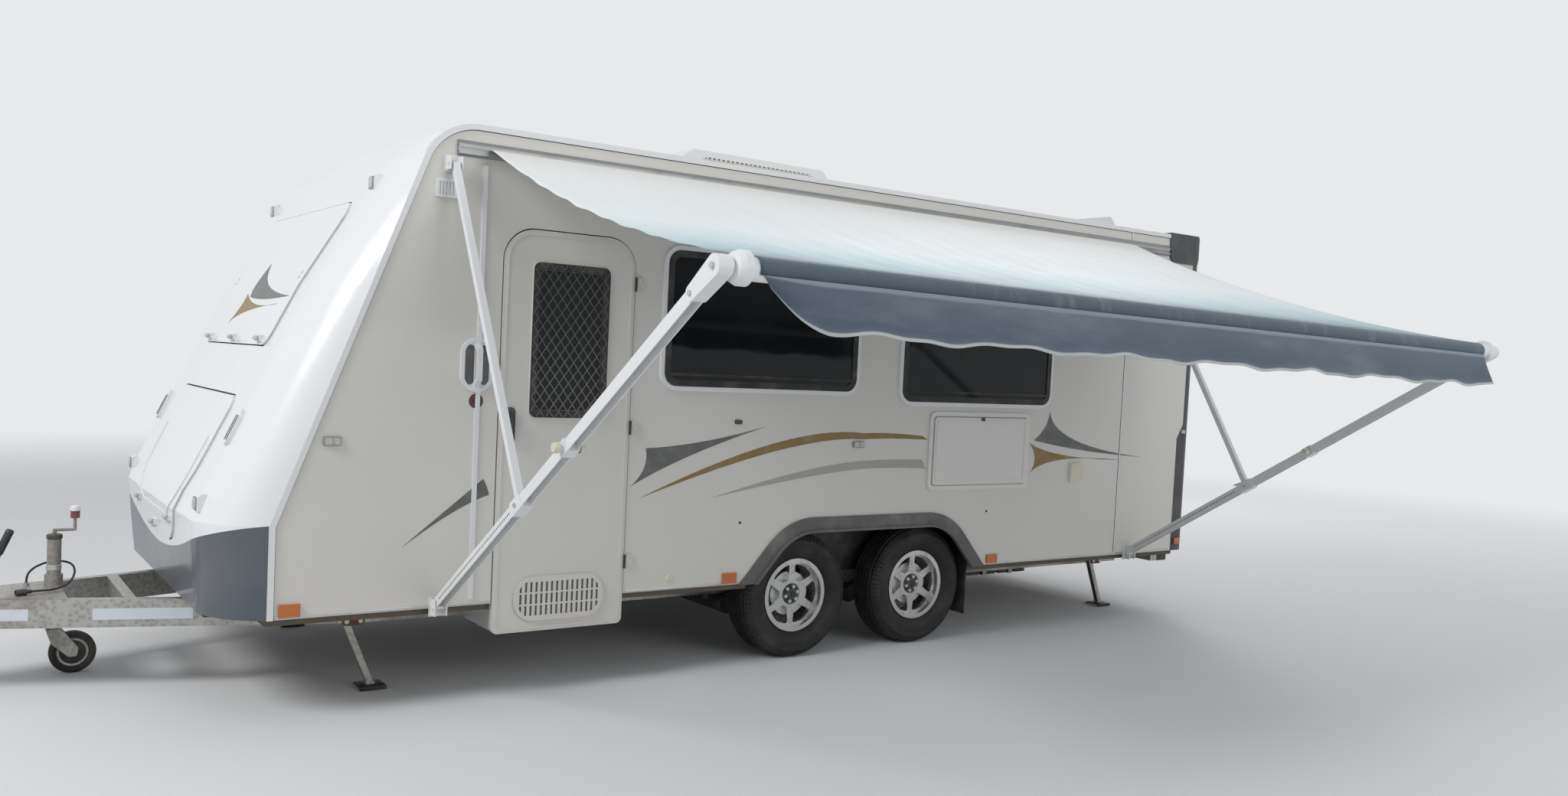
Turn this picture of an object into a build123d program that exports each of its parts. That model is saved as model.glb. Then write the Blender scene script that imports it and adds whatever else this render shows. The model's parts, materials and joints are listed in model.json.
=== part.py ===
# Tandem-axle travel caravan, parked, with its side awning rolled out.
# Lengths are in millimetres. X runs rearwards from the foot of the side walls' front edge,
# Y is zero on the centreline with the entry door at -Y, and Z is height above the ground.
# At export everything is moved so that the origin is the centre of the tow ball.
import os
from math import acos, cos, hypot, pi, radians, sin, tan

from build123d import *

# Body
WIDTH = 2350
HALF = WIDTH / 2
WALL = 32
WALL_BASE = 456
KNEE_Z = 856
ROOF_Z = 2661
FRONT_LEAN = 20.4
ROOF_RADIUS = 270
ROOF_THICK = 38
BODY_REAR = 6180
REAR_WRAP = 140
REAR_WRAP_HIGH = 80
REAR_INSET = 45
REAR_THICK = 40
REAR_RADIUS = 80
SPOILER_X = 5830
SPOILER_OUT = 22
SPOILER_UP = 12
SPOILER_WIDE, SPOILER_HIGH = 14, 190
CAP_OUT = 2
SIDE_SEAM_X = 5432
SEAM = 3
EDGE_WIDE = 26
EDGE_PROUD = 8
FLOOR_BASE = 424
FLOOR_THICK = 50

# Front moulding: bulge ahead of the side profile at each height
FRONT_BULGE = ((456, 220), (650, 240), (856, 255), (950, 258), (1400, 220), (1900, 180),
               (2300, 110), (2485, 75), (2600, 45))
FRONT_FLAT = 860
FRONT_WALL = 25
SKIRT_SIDE_Z = 856
SKIRT_MID_Z = 650
LID_GAP = 6
LID_PROUD = 9
COVER_TOP, COVER_FOOT = 2293, 1615
COVER_TOP_HALF, COVER_FOOT_HALF = 790, 680
GAS_TOP, GAS_FOOT = 1379, 702
GAS_HALF = 640
BEAD_IN, BEAD_WIDE, BEAD_TOP, BEAD_PROUD = 90, 24, 1190, 5
HANDLE_Y, HANDLE_Z = 885, 1255
HOUSING_Y, HOUSING_Z = 925, (930, 2370)
LATCHES = {"front_cover": ((-560, 1645), (0, 1645), (560, 1645)),
           "gas_lid": ((-430, 810), (0, 734), (430, 810))}

# Entry door
DOOR_FRONT, DOOR_REAR = 998, 1682
DOOR_FOOT, DOOR_TOP = 309, 2215
DOOR_GAP = 6
DOOR_RADIUS = 150
DOOR_THICK = 34
DOOR_PROUD = 6
DOOR_PANE = (1164, 1518, 1357, 2043)
GRILLE_COLUMNS, GRILLE_ROWS = 7, 10
GRILLE_WIRE = 5
VENT_ROWS, VENT_SLOTS = 3, 16
STRIP_X = 891

# Windows on the door side and on the far side: front edge, rear edge, foot, top of the cut
WINDOWS_LEFT = ((1868, 3109, 1506, 2191), (3459, 4698, 1460, 2145))
WINDOWS_RIGHT = ((1500, 2700, 1506, 2191), (4300, 5100, 1506, 2191))
REAR_WINDOW = (-450, 450, 1600, 2150)
WINDOW_RADIUS = 70
WINDOW_FRAME = 50
FRAME_PROUD = 14
PANE = 8

# Chassis
RAIL_TOP = FLOOR_BASE
RAIL_HIGH = 128
RAIL_WIDE = 50
RAIL_Y = 620
NOSE_X, NOSE_Y = -1250, 42
JOIN_X = 520
CROSS_X = (560, 1240, 1920, 2600, 3270, 3940, 4620, 5300, 6080)
CROSS_HIGH = 75

# Water tanks: the bays behind these cross members
TANK_BAYS = (1, 6)
TANK_GAP = 35
TANK_HIGH = 170

# Coupling
DRAWBAR = 1450
BALL_Z = 450
SOCKET_R = 25.3
PLATE_END = -640
PLATE_THICK = 6

# Wheels
AXLE_X = (2824, 3721)
AXLE_Z = 352
TYRE_R = AXLE_Z
TYRE_WIDE = 215
RIM_SEAT_R = 190
RIM_R = 206
WHEEL_INSET = 55
WHEEL_Y = HALF - WHEEL_INSET - TYRE_WIDE / 2
RIM_WIDE = 165
HUB_R = 66
SPOKES = 6
SPOKE_HUB, SPOKE_TIP = 46, 30
DRUM_R, DRUM_LONG = 125, 40
STUB_R = 20
RUNNING = 0.05
TUBE_HALF = 42
ARM_REACH = 220
ARM_Y = 720

# Wheel arch trims: half length at the foot and at the top, about the middle of the axles
ARCH_X = sum(AXLE_X) / 2 + 21
ARCH_FOOT, ARCH_TOP = 906, 604
ARCH_Z = 800
ARCH_BAND = 85
ARCH_RADIUS = 400
ARCH_LIP = 14

# Corner legs
LEG_X = (440, 5690)
LEG_Y = 745
LEG_PIVOT_Z = 356
LEG_REACH = 140

# Jockey wheel
MAST_X, MAST_Y = -665, 110
MAST_R = 30
JOCKEY_R = 100
JOCKEY_TRAIL = 84

# Trailer lead: from its gland up round the back of the mast, over its peg and down to the plug
LEAD_D = 10
LEAD_ROUTE = (
    (-775, 120, 446), (-775, 120, 478), (-748, 137, 508), (-702, 158, 527), (-655, 165, 533),
    (-612, 151, 531), (-586, 113, 520), (-581, 66, 499), (-592, 20, 475), (-616, -24, 455),
    (-650, -63, 445), (-692, -92, 441), (-735, -111, 445), (-770, -120, 445))
PLUG_LONG = 66

# Awning: it reaches from the front arm set at AWNING_X[0] to the rear one
AWNING_X = (735, 5565)
ARM_FOOT_Z = 480
ARM_WIDE, ARM_DEEP, ARM_SKIN = 42, 46, 4
RAFTER_WIDE = 30
SLIDE_SHARE = 0.385
ARM_HOLES = 14
KNUCKLE_HALF = 27
ROLLER_Y = -3455
ROLLER_Z = (1932, 1886)
ROLLER_R = 38
CAP_R = 56
RAIL_Z = 2540
CLOTH_X = (905, 5420)
CLOTH_THICK = 12
CLOTH_SAG = 80

# Roof fittings
COOLER_X = (2240, 3530)
COOLER_HALF = 350
COOLER_HIGH = 225
LOUVRES = 26
HATCH_X = (5330, 5730)
HATCH_Y = (-750, -350)
CURB, CURB_HIGH = 30, 50
HATCH_LAP = 15

# Markers along the foot of the walls: half length of the lens, and its place beside the arch
MARKER_HALF = 44
MARKER_GAP = 24
MARKER_Z = (466, 522)


def xy(face, z0, z1):
    return extrude(Plane.XY.offset(z0) * face, z1 - z0)


def xz(face, y0, y1):
    return extrude(Plane.XZ.offset(-y1) * face, y1 - y0)


def yz(face, x0, x1):
    return extrude(Plane.YZ.offset(x0) * face, x1 - x0)


def box(x0, x1, y0, y1, z0, z1):
    return Pos((x0 + x1) / 2, (y0 + y1) / 2, (z0 + z1) / 2) * Box(x1 - x0, y1 - y0, z1 - z0)


def rect(a0, a1, b0, b1):
    return Pos((a0 + a1) / 2, (b0 + b1) / 2) * Rectangle(a1 - a0, b1 - b0)


def rounded(a0, a1, b0, b1, radius, grow=0):
    """Rounded rectangle between two corners, grown outwards all round."""
    face = RectangleRounded(a1 - a0 + 2 * grow, b1 - b0 + 2 * grow, radius + grow)
    return Pos((a0 + a1) / 2, (b0 + b1) / 2) * face


def outline(points, radii):
    """Closed outline with a radius at each corner, one for all or one each."""
    if not isinstance(radii, (list, tuple)):
        radii = [radii] * len(points)
    return make_face(FilletPolyline(*points, radius=list(radii), close=True))


def mirrored(shape):
    return mirror(shape, Plane.XZ)


def rod(start, end, radius):
    """Round bar between two points."""
    a, b = Vector(*start), Vector(*end)
    return extrude(Plane(a, z_dir=b - a) * Circle(radius), (b - a).length)


def bar(start, end, wide, deep, side=(1, 0, 0), lift=0):
    """Square bar between two points; its width lies along side, and lift moves it across that."""
    a, b = Vector(*start), Vector(*end)
    section = Pos(0, lift) * Rectangle(wide, deep)
    return extrude(Plane(a, x_dir=Vector(*side), z_dir=b - a) * section, (b - a).length)


def channel(start, end, wide, deep, skin, side=(1, 0, 0)):
    """Open channel between two points, with its back on the side that lift counts to."""
    return bar(start, end, wide, deep, side) - bar(start, end, wide - 2 * skin, deep, side, lift=-skin)


def link(start, end, start_radius, end_radius):
    """Outline of a tapered arm round two pins."""
    edges = (Pos(*start) * Circle(start_radius)).edges() + (Pos(*end) * Circle(end_radius)).edges()
    return make_hull(edges)


def bolt(start, end, radius):
    """Hexagon bar between two points."""
    a, b = Vector(*start), Vector(*end)
    return extrude(Plane(a, z_dir=b - a) * RegularPolygon(radius, 6), (b - a).length)


def both(shape):
    """A shape on the far side with its twin on the door side."""
    return [shape, mirrored(shape)]


def save(name, *shapes):
    """Write the solids of one node, in the frame of the tow ball."""
    solids = [solid for shape in shapes for solid in shape.solids()]
    moved = [Pos(DRAWBAR, 0, -BALL_Z) * solid for solid in solids]
    export_step(moved[0] if len(moved) == 1 else Compound(moved), f"parts/{name}.step")


os.makedirs("parts", exist_ok=True)

# Side profile of the body
LEAN = tan(radians(FRONT_LEAN))
NOSE_TOP_X = (ROOF_Z - KNEE_Z) * LEAN
ARC_RUN = ROOF_RADIUS * tan(radians(90 - FRONT_LEAN) / 2)
ARC_X = NOSE_TOP_X + ARC_RUN
REAR_LOW = BODY_REAR - REAR_WRAP
REAR_HIGH = BODY_REAR - REAR_WRAP_HIGH
STEP_Z = (1250, 1350)


def front_x(z):
    """X of the side walls' front edge at a height."""
    if z <= KNEE_Z:
        return 0
    arc_z = ROOF_Z - ROOF_RADIUS
    x = (z - KNEE_Z) * LEAN
    if z > arc_z + ROOF_RADIUS * sin(radians(FRONT_LEAN)):
        x = ARC_X - (ROOF_RADIUS ** 2 - (z - arc_z) ** 2) ** 0.5
    return x


def side_outline():
    points = ((0, WALL_BASE), (0, KNEE_Z), (NOSE_TOP_X, ROOF_Z), (REAR_HIGH, ROOF_Z),
              (REAR_HIGH, STEP_Z[1]), (REAR_LOW, STEP_Z[0]), (REAR_LOW, WALL_BASE))
    return outline(points, (0, 0, ROOF_RADIUS, 0, 0, 0, 0))


def arch_outline(inset):
    """Wheel arch, taken in from the outer edge of its trim by inset."""
    slope = (ARCH_FOOT - ARCH_TOP) / (ARCH_Z - WALL_BASE)
    foot = ARCH_FOOT - inset * hypot(1, slope)
    top = foot - (ARCH_Z - inset - WALL_BASE) * slope
    below = foot + 60 * slope
    points = ((ARCH_X - below, WALL_BASE - 60), (ARCH_X - top, ARCH_Z - inset),
              (ARCH_X + top, ARCH_Z - inset), (ARCH_X + below, WALL_BASE - 60))
    radius = ARCH_RADIUS - inset
    return outline(points, (0, radius, radius, 0))


def edge_moulding():
    """Raised moulding along a wall's front edge and roof line, as far as the spoiler."""
    strip = side_outline() - offset(side_outline(), -EDGE_WIDE)
    strip -= rect(EDGE_WIDE, BODY_REAR, WALL_BASE - 1, WALL_BASE + EDGE_WIDE + 1)
    strip -= rect(SPOILER_X, BODY_REAR, WALL_BASE - 1, ROOF_Z + 1)
    return xz(strip, HALF - 1, HALF + EDGE_PROUD)


def wall(sign, windows):
    """Sandwich side wall with its windows and wheel arch cut, split at the panel seam."""
    slab = xz(side_outline(), HALF - WALL, HALF) + edge_moulding()
    slab -= xz(arch_outline(ARCH_BAND - 25), HALF - WALL - 1, HALF + 1)
    for x0, x1, z0, z1 in windows:
        slab -= xz(rounded(x0, x1, z0, z1, WINDOW_RADIUS), HALF - WALL - 1, HALF + 1)
    slab -= box(SIDE_SEAM_X, SIDE_SEAM_X + SEAM, HALF - WALL - 1, HALF + 1, WALL_BASE - 1, ROOF_Z + 1)
    return slab if sign > 0 else mirrored(slab)


def door_face(grow):
    points = ((DOOR_FRONT - grow, DOOR_FOOT - grow), (DOOR_FRONT - grow, DOOR_TOP + grow),
              (DOOR_REAR + grow, DOOR_TOP + grow), (DOOR_REAR + grow, DOOR_FOOT - grow))
    return outline(points, (30, DOOR_RADIUS + grow, DOOR_RADIUS + grow, 30))


def walls():
    left = wall(-1, WINDOWS_LEFT) - xz(door_face(DOOR_GAP), -HALF - 1, WALL + 1 - HALF)
    save("wall_left", left)
    save("wall_right", wall(1, WINDOWS_RIGHT))


def windows():
    """Framed panes: each frame fills the cut in the wall and stands proud of it."""
    frames, panes = [], []
    for sign, table in ((-1, WINDOWS_LEFT), (1, WINDOWS_RIGHT)):
        for x0, x1, z0, z1 in table:
            flange = rounded(x0, x1, z0, z1, WINDOW_RADIUS, WINDOW_FRAME / 2)
            hole = rounded(x0, x1, z0, z1, WINDOW_RADIUS, -WINDOW_FRAME / 2)
            fill = rounded(x0, x1, z0, z1, WINDOW_RADIUS)
            frame = xz(flange, HALF, HALF + FRAME_PROUD) + xz(fill, HALF - WALL, HALF)
            frame -= xz(hole, HALF - WALL - 1, HALF + FRAME_PROUD + 1)
            pane = xz(hole, HALF + FRAME_PROUD - PANE - 4, HALF + FRAME_PROUD - 4)
            frames.append(frame if sign > 0 else mirrored(frame))
            panes.append(pane if sign > 0 else mirrored(pane))
    back = BODY_REAR - REAR_INSET
    frame = yz(rounded(*REAR_WINDOW, WINDOW_RADIUS, WINDOW_FRAME / 2), back, back + FRAME_PROUD)
    frame += yz(rounded(*REAR_WINDOW, WINDOW_RADIUS), back - REAR_THICK, back)
    hole = rounded(*REAR_WINDOW, WINDOW_RADIUS, -WINDOW_FRAME / 2)
    frames.append(frame - yz(hole, back - 200, BODY_REAR))
    panes.append(yz(hole, back, back + PANE))
    z0, z1 = COVER_FOOT - 30, COVER_TOP + 30
    x0, x1 = (centre_x(z) + FRONT_WALL + 8 for z in (z0, z1))
    pane = Polyline((x0, z0), (x1, z1), (x1 + PANE, z1), (x0 + PANE, z0), close=True)
    panes.append(xz(make_face(pane), -COVER_TOP_HALF - 20, COVER_TOP_HALF + 20))
    save("window_frames", *frames)
    save("window_glass", *panes)


def roof():
    inner = HALF - WALL
    top = FRONT_BULGE[-1][0]
    points = ((0, WALL_BASE), (0, KNEE_Z), (NOSE_TOP_X, ROOF_Z), (REAR_HIGH, ROOF_Z), (REAR_HIGH, WALL_BASE))
    whole = outline(points, (0, 0, ROOF_RADIUS, 0, 0))
    slab = xz(whole, -inner, inner)
    core = ((0, WALL_BASE - 5), (0, top), (front_x(top) + 30, top), (ARC_X + 30, ROOF_Z - ROOF_THICK),
            (REAR_HIGH + 5, ROOF_Z - ROOF_THICK), (REAR_HIGH + 5, WALL_BASE - 5))
    slab -= xz(make_face(Polyline(*core, close=True)), -inner - 1, inner + 1)
    slab -= box(-10, front_x(top), -inner - 1, inner + 1, WALL_BASE, ROOF_Z + 1)
    x0, x1 = HATCH_X
    y0, y1 = HATCH_Y
    curb = box(x0, x1, y0, y1, ROOF_Z - 5, ROOF_Z + CURB_HIGH)
    light = box(x0 + CURB, x1 - CURB, y0 + CURB, y1 - CURB, ROOF_Z - ROOF_THICK - 1, ROOF_Z + CURB_HIGH + 1)
    save("roof", slab + curb - light)


def bulge_section(z, bulge, thick):
    """Plan section of the front moulding: a flat middle and two round corners."""
    x = front_x(z)

    def corner(depth, reach):
        radius = (reach ** 2 + depth ** 2) / (2 * depth)
        half = acos((radius - depth) / radius) / 2
        return (x - depth + radius - radius * cos(half), FRONT_FLAT + radius * sin(half))

    outer = corner(bulge, HALF - FRONT_FLAT)
    inner = corner(bulge - thick, HALF - WALL - FRONT_FLAT)
    front, back = x - bulge, x - bulge + thick
    edges = [
        ThreePointArc((x, HALF), outer, (front, FRONT_FLAT)),
        Line((front, FRONT_FLAT), (front, -FRONT_FLAT)),
        ThreePointArc((front, -FRONT_FLAT), (outer[0], -outer[1]), (x, -HALF)),
        Line((x, -HALF), (x, WALL - HALF)),
        ThreePointArc((x, WALL - HALF), (inner[0], -inner[1]), (back, -FRONT_FLAT)),
        Line((back, -FRONT_FLAT), (back, FRONT_FLAT)),
        ThreePointArc((back, FRONT_FLAT), inner, (x, HALF - WALL)),
        Line((x, HALF - WALL), (x, HALF)),
    ]
    return Pos(0, 0, z) * make_face(edges)


def skirt_region():
    """Front view of the dark lower moulding: high at the sides, dipped in the middle."""
    side = HALF + 50
    points = ((-side, WALL_BASE - 50), (-side, SKIRT_SIDE_Z), (-800, SKIRT_SIDE_Z), (-480, SKIRT_MID_Z),
              (480, SKIRT_MID_Z), (800, SKIRT_SIDE_Z), (side, SKIRT_SIDE_Z), (side, WALL_BASE - 50))
    return outline(points, (0, 0, 150, 150, 150, 150, 0, 0))


def cover_face(grow):
    points = ((-COVER_FOOT_HALF - grow, COVER_FOOT - grow), (-COVER_TOP_HALF - grow, COVER_TOP + grow),
              (COVER_TOP_HALF + grow, COVER_TOP + grow), (COVER_FOOT_HALF + grow, COVER_FOOT - grow))
    return outline(points, 70 + grow)


def gas_face(grow):
    top, foot, half = GAS_TOP + grow, GAS_FOOT - grow, GAS_HALF + grow
    points = ((-half, top), (half, top), (half - 30, top - 330), (half - 190, foot), (190 - half, foot),
              (30 - half, top - 330))
    return outline(points, (60, 60, 200, 150, 150, 200))


def front():
    """Front moulding in its four pieces: dark skirt, panel, window cover and gas locker lid."""
    shell = loft([bulge_section(z, b, FRONT_WALL) for z, b in FRONT_BULGE], ruled=True)
    shell -= xz(side_outline(), -HALF - 1, HALF + 1)
    skirt_cut = yz(skirt_region(), -500, 400)
    skirt = shell & skirt_cut
    panel = shell - skirt_cut
    lids = {}
    for name, face in (("front_cover", cover_face), ("gas_lid", gas_face)):
        lids[name] = Pos(-LID_PROUD, 0, 0) * (shell & yz(face(0), -500, 900))
        panel -= yz(face(LID_GAP), -500, 900)
    bead = (gas_face(-BEAD_IN) - gas_face(-BEAD_IN - BEAD_WIDE)) & rect(-HALF, HALF, 0, BEAD_TOP)
    lids["gas_lid"] += Pos(-LID_PROUD - BEAD_PROUD, 0, 0) * (shell & yz(bead, -500, 900))
    for sign in (-1, 1):
        panel += grab_handle(sign * HANDLE_Y)
        for z in HOUSING_Z:
            panel += lamp_housing(sign * HOUSING_Y, z)
    save("front_skirt", skirt)
    save("front_panel", panel)
    for name, lid in lids.items():
        for y, z in LATCHES[name]:
            x = min(centre_x(z - 14), centre_x(z + 14)) - LID_PROUD
            lid += box(x - 9, x + 10, y - 35, y + 35, z - 14, z + 14)
            lid += box(x - 15, x, y - 9, y + 9, z - 30, z + 6)
        save(name, lid)


def shell_plane(y, z):
    """Plane on the flat of the front moulding, leaning with it, with its normal to the front."""
    reach = 60
    upright = Vector(centre_x(z + reach) - centre_x(z - reach), 0, 2 * reach)
    return Plane((centre_x(z), y, z), x_dir=upright, z_dir=upright.cross(Vector(0, -1, 0)))


def grab_handle(y):
    """Moulded oval handle: a rim round a cup, with a grip along it."""
    place = shell_plane(y, HANDLE_Z)
    pad = extrude(place.offset(-14) * RectangleRounded(170, 76, 37), 34)
    pad -= extrude(place.offset(4) * RectangleRounded(142, 50, 24), 30)
    return pad + extrude(place.offset(2) * RectangleRounded(146, 16, 6), 30)


def lamp_housing(y, z):
    """Wedge on the moulding's shoulder that carries a lamp facing forwards."""
    x, foot, top = centre_x(z) - 12, z - 30, z + 42
    wedge = outline(((x, foot), (x, top - 14), (x + 18, top), (x + 56, top), (x + 22, foot)), (6, 6, 10, 0, 0))
    return xz(wedge, y - 34, y + 34)


def centre_x(z):
    """X of the front moulding's flat middle at a height."""
    for (z0, b0), (z1, b1) in zip(FRONT_BULGE, FRONT_BULGE[1:]):
        if z0 <= z <= z1:
            share = (z - z0) / (z1 - z0)
            return (front_x(z0) - b0) * (1 - share) + (front_x(z1) - b1) * share


def gas_locker():
    """Open-fronted locker behind the gas lid, shaped to the inside of the moulding."""
    z0, z1 = GAS_FOOT - 25, GAS_TOP + 30
    deep, skin = 330, 15
    heights = [z0] + [z for z, _ in FRONT_BULGE if z0 < z < z1] + [z1]
    front_line = [(centre_x(z) + FRONT_WALL + 3, z) for z in heights]
    locker = xz(make_face(Polyline(*front_line, (deep, z1), (deep, z0), close=True)), -700, 700)
    locker -= box(-500, deep - skin, skin - 700, 700 - skin, z0 + skin, z1 - skin)
    save("gas_locker", locker)


def rear():
    """Rear panel inside a dark moulded surround, whose top flares out as a low spoiler."""
    lip = BODY_REAR + SPOILER_OUT
    side = ((REAR_LOW, WALL_BASE), (REAR_LOW, STEP_Z[0]), (REAR_HIGH, STEP_Z[1]), (REAR_HIGH, ROOF_Z),
            (SPOILER_X, ROOF_Z), (SPOILER_X, ROOF_Z + SPOILER_UP), (lip - 70, ROOF_Z + SPOILER_UP),
            (lip, ROOF_Z - 30), (lip, ROOF_Z - 60), (BODY_REAR, ROOF_Z - 190), (BODY_REAR, WALL_BASE))
    ring = xz(make_face(Polyline(*side, close=True)), -HALF, HALF)
    ring &= xy(rounded(SPOILER_X - 400, lip, -HALF, HALF, REAR_RADIUS), 0, ROOF_Z + 100)
    over, end = HALF + SPOILER_WIDE, lip + CAP_OUT
    foot, top = ROOF_Z - SPOILER_HIGH, ROOF_Z + SPOILER_UP
    cap = ((SPOILER_X, top), (SPOILER_X, foot), (BODY_REAR - REAR_INSET, foot), (end, ROOF_Z - 60),
           (end, ROOF_Z - 30), (end - 70, top))
    cap = xz(outline(cap, (0, 60, 25, 0, 0, 0)), -over, over)
    cap &= xy(rounded(SPOILER_X - 400, end, -over, over, REAR_RADIUS + SPOILER_WIDE), 0, ROOF_Z + 100)
    ring += cap - box(SPOILER_X - 10, REAR_HIGH, -HALF, HALF, foot - 10, ROOF_Z)
    ring -= yz(rounded(-HALF + 120, HALF - 120, WALL_BASE + 150, ROOF_Z - 160, 60), REAR_LOW - 10, lip + 10)
    ring -= box(REAR_LOW - 10, BODY_REAR - REAR_INSET, WALL - HALF, HALF - WALL, WALL_BASE - 1, ROOF_Z - ROOF_THICK)
    ring -= box(REAR_LOW - 10, REAR_HIGH, WALL - HALF, HALF - WALL, WALL_BASE - 1, ROOF_Z)
    save("rear_surround", ring)
    front = BODY_REAR - REAR_INSET - REAR_THICK
    panel = box(front, front + REAR_THICK, WALL - HALF, HALF - WALL, WALL_BASE, ROOF_Z - ROOF_THICK)
    save("rear_panel", panel - yz(rounded(*REAR_WINDOW, WINDOW_RADIUS), front - 10, BODY_REAR))


def floor():
    slab = box(0, BODY_REAR - REAR_INSET - REAR_THICK, WALL - HALF, HALF - WALL, FLOOR_BASE, FLOOR_BASE + FLOOR_THICK)
    slab += box(10 - FRONT_BULGE[0][1] + FRONT_WALL, 0, -FRONT_FLAT, FRONT_FLAT, FLOOR_BASE, FLOOR_BASE + FLOOR_THICK)
    for sign in (-1, 1):
        y0, y1 = sorted((sign * (HALF - 320), sign * HALF))
        slab -= box(AXLE_X[0] - TYRE_R - 25, AXLE_X[1] + TYRE_R + 25, y0, y1, 0, 1000)
    slab -= box(DOOR_FRONT, DOOR_REAR, -HALF, -HALF + 330, 0, 1000)
    save("floor", slab)
    well = box(DOOR_FRONT, DOOR_REAR, WALL - HALF + 3, -HALF + 330, DOOR_FOOT + 15, FLOOR_BASE + FLOOR_THICK)
    well -= box(DOOR_FRONT + 8, DOOR_REAR - 8, -HALF, -HALF + 322, DOOR_FOOT + 23, 1000)
    save("step_well", well)
    boxes = []
    for sign in (-1, 1):
        shell = box(AXLE_X[0] - TYRE_R - 25, AXLE_X[1] + TYRE_R + 25, HALF - 320, HALF - WALL, FLOOR_BASE, 775)
        shell -= box(AXLE_X[0] - TYRE_R - 19, AXLE_X[1] + TYRE_R + 19, HALF - 314, HALF, 0, 769)
        boxes.append(shell if sign > 0 else mirrored(shell))
    save("wheel_boxes", *boxes)


def arches():
    trims, flaps = [], []
    for sign in (-1, 1):
        trim = xz(arch_outline(0), HALF, HALF + 12) + xz(arch_outline(ARCH_BAND - ARCH_LIP), HALF, HALF + 26)
        trim -= xz(arch_outline(ARCH_BAND), HALF - 1, HALF + 30)
        trim -= box(0, BODY_REAR, HALF - 10, HALF + 50, 0, WALL_BASE - 4)
        flap_x = AXLE_X[1] + TYRE_R + 30
        flap = box(flap_x, flap_x + 8, WHEEL_Y - 115, WHEEL_Y + 115, 150, FLOOR_BASE)
        trims.append(trim if sign > 0 else mirrored(trim))
        flaps.append(flap if sign > 0 else mirrored(flap))
    save("wheel_arches", *trims)
    save("mudflaps", *flaps)


def drawbar_y(x):
    """Distance of a drawbar arm's middle from the centreline."""
    return NOSE_Y + (RAIL_Y - NOSE_Y) * (x - NOSE_X) / (JOIN_X - NOSE_X)


def leg_hanger(x, y):
    """Bracket and pin that a corner leg swings on."""
    hanger = rod((x, y - 36, LEG_PIVOT_Z), (x, y + 36, LEG_PIVOT_Z), 8)
    for edge in (-33, 33):
        hanger += box(x - 30, x + 30, y + edge - 4, y + edge + 4, LEG_PIVOT_Z - 25, RAIL_TOP - 8)
    return hanger + box(x - 45, x + 45, y - 37, y + 37, RAIL_TOP - 14, RAIL_TOP - 8)


def chassis():
    frame = None
    for sign in (-1, 1):
        rail = box(JOIN_X - 40, 6105, sign * RAIL_Y - RAIL_WIDE / 2, sign * RAIL_Y + RAIL_WIDE / 2,
                   RAIL_TOP - RAIL_HIGH, RAIL_TOP)
        arm = bar((NOSE_X, sign * NOSE_Y, RAIL_TOP - RAIL_HIGH / 2), (JOIN_X, sign * RAIL_Y, RAIL_TOP - RAIL_HIGH / 2),
                  RAIL_WIDE, RAIL_HIGH, side=(0, 1, 0))
        side = rail + arm
        frame = side if frame is None else frame + side
    for x in CROSS_X:
        frame += box(x - 25, x + 25, -RAIL_Y, RAIL_Y, RAIL_TOP - CROSS_HIGH, RAIL_TOP)
    frame += box(-420, -370, -330, 330, RAIL_TOP - CROSS_HIGH, RAIL_TOP)
    plate = make_face(Polyline((NOSE_X, -drawbar_y(NOSE_X)), (PLATE_END, -drawbar_y(PLATE_END)),
                               (PLATE_END, drawbar_y(PLATE_END)), (NOSE_X, drawbar_y(NOSE_X)), close=True))
    frame += xy(plate, RAIL_TOP, RAIL_TOP + PLATE_THICK)
    frame -= Pos(MAST_X, MAST_Y, 0) * xy(Circle(MAST_R + 6), RAIL_TOP - 1, RAIL_TOP + 10)
    for sign in (-1, 1):
        for x in LEG_X:
            frame += box(x - 90, x + 90, sign * RAIL_Y + min(0, sign * 200), sign * RAIL_Y + max(0, sign * 200),
                         RAIL_TOP - 8, RAIL_TOP)
            frame += leg_hanger(x, sign * LEG_Y)
    seat = RAIL_TOP + PLATE_THICK
    clamp = Pos(MAST_X, MAST_Y, 0) * xy(Circle(MAST_R + 9), seat - 2, seat + 50)
    clamp += box(MAST_X - 30, MAST_X + 22, MAST_Y + MAST_R, drawbar_y(MAST_X) - 5, seat - 2, seat + 12)
    frame += clamp - Pos(MAST_X, MAST_Y, 0) * xy(Circle(MAST_R), RAIL_TOP, seat + 70)
    x, y, z = LEAD_ROUTE[0]
    frame += Pos(x, y, 0) * (xy(Circle(13), seat - 2, seat + 8) + xy(Circle(9), seat + 8, z))
    save("chassis", frame)


def coupling():
    seat = RAIL_TOP + PLATE_THICK
    body = Pos(-DRAWBAR, 0, 0) * xy(Circle(38), seat, BALL_Z + 44)
    neck = make_face(Polyline((-DRAWBAR, -30), (-DRAWBAR, 30), (NOSE_X + 60, 62), (NOSE_X + 220, 62),
                              (NOSE_X + 220, -62), (NOSE_X + 60, -62), close=True))
    body += xy(neck, seat, seat + 50)
    bore = Pos(-DRAWBAR, 0, 0) * xy(Circle(SOCKET_R), seat - 5, BALL_Z + 2)
    dome = Pos(-DRAWBAR, 0, BALL_Z + 2) * Sphere(SOCKET_R)
    body -= bore + dome
    body += box(-DRAWBAR - 10, -DRAWBAR + 150, -14, 14, BALL_Z + 40, BALL_Z + 62)
    lever = rod((NOSE_X + 290, 0, seat + 20), (NOSE_X + 400, 0, seat + 280), 14)
    lever += box(NOSE_X + 200, NOSE_X + 330, -22, 22, seat, seat + 50)
    save("coupling", body + lever)


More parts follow.
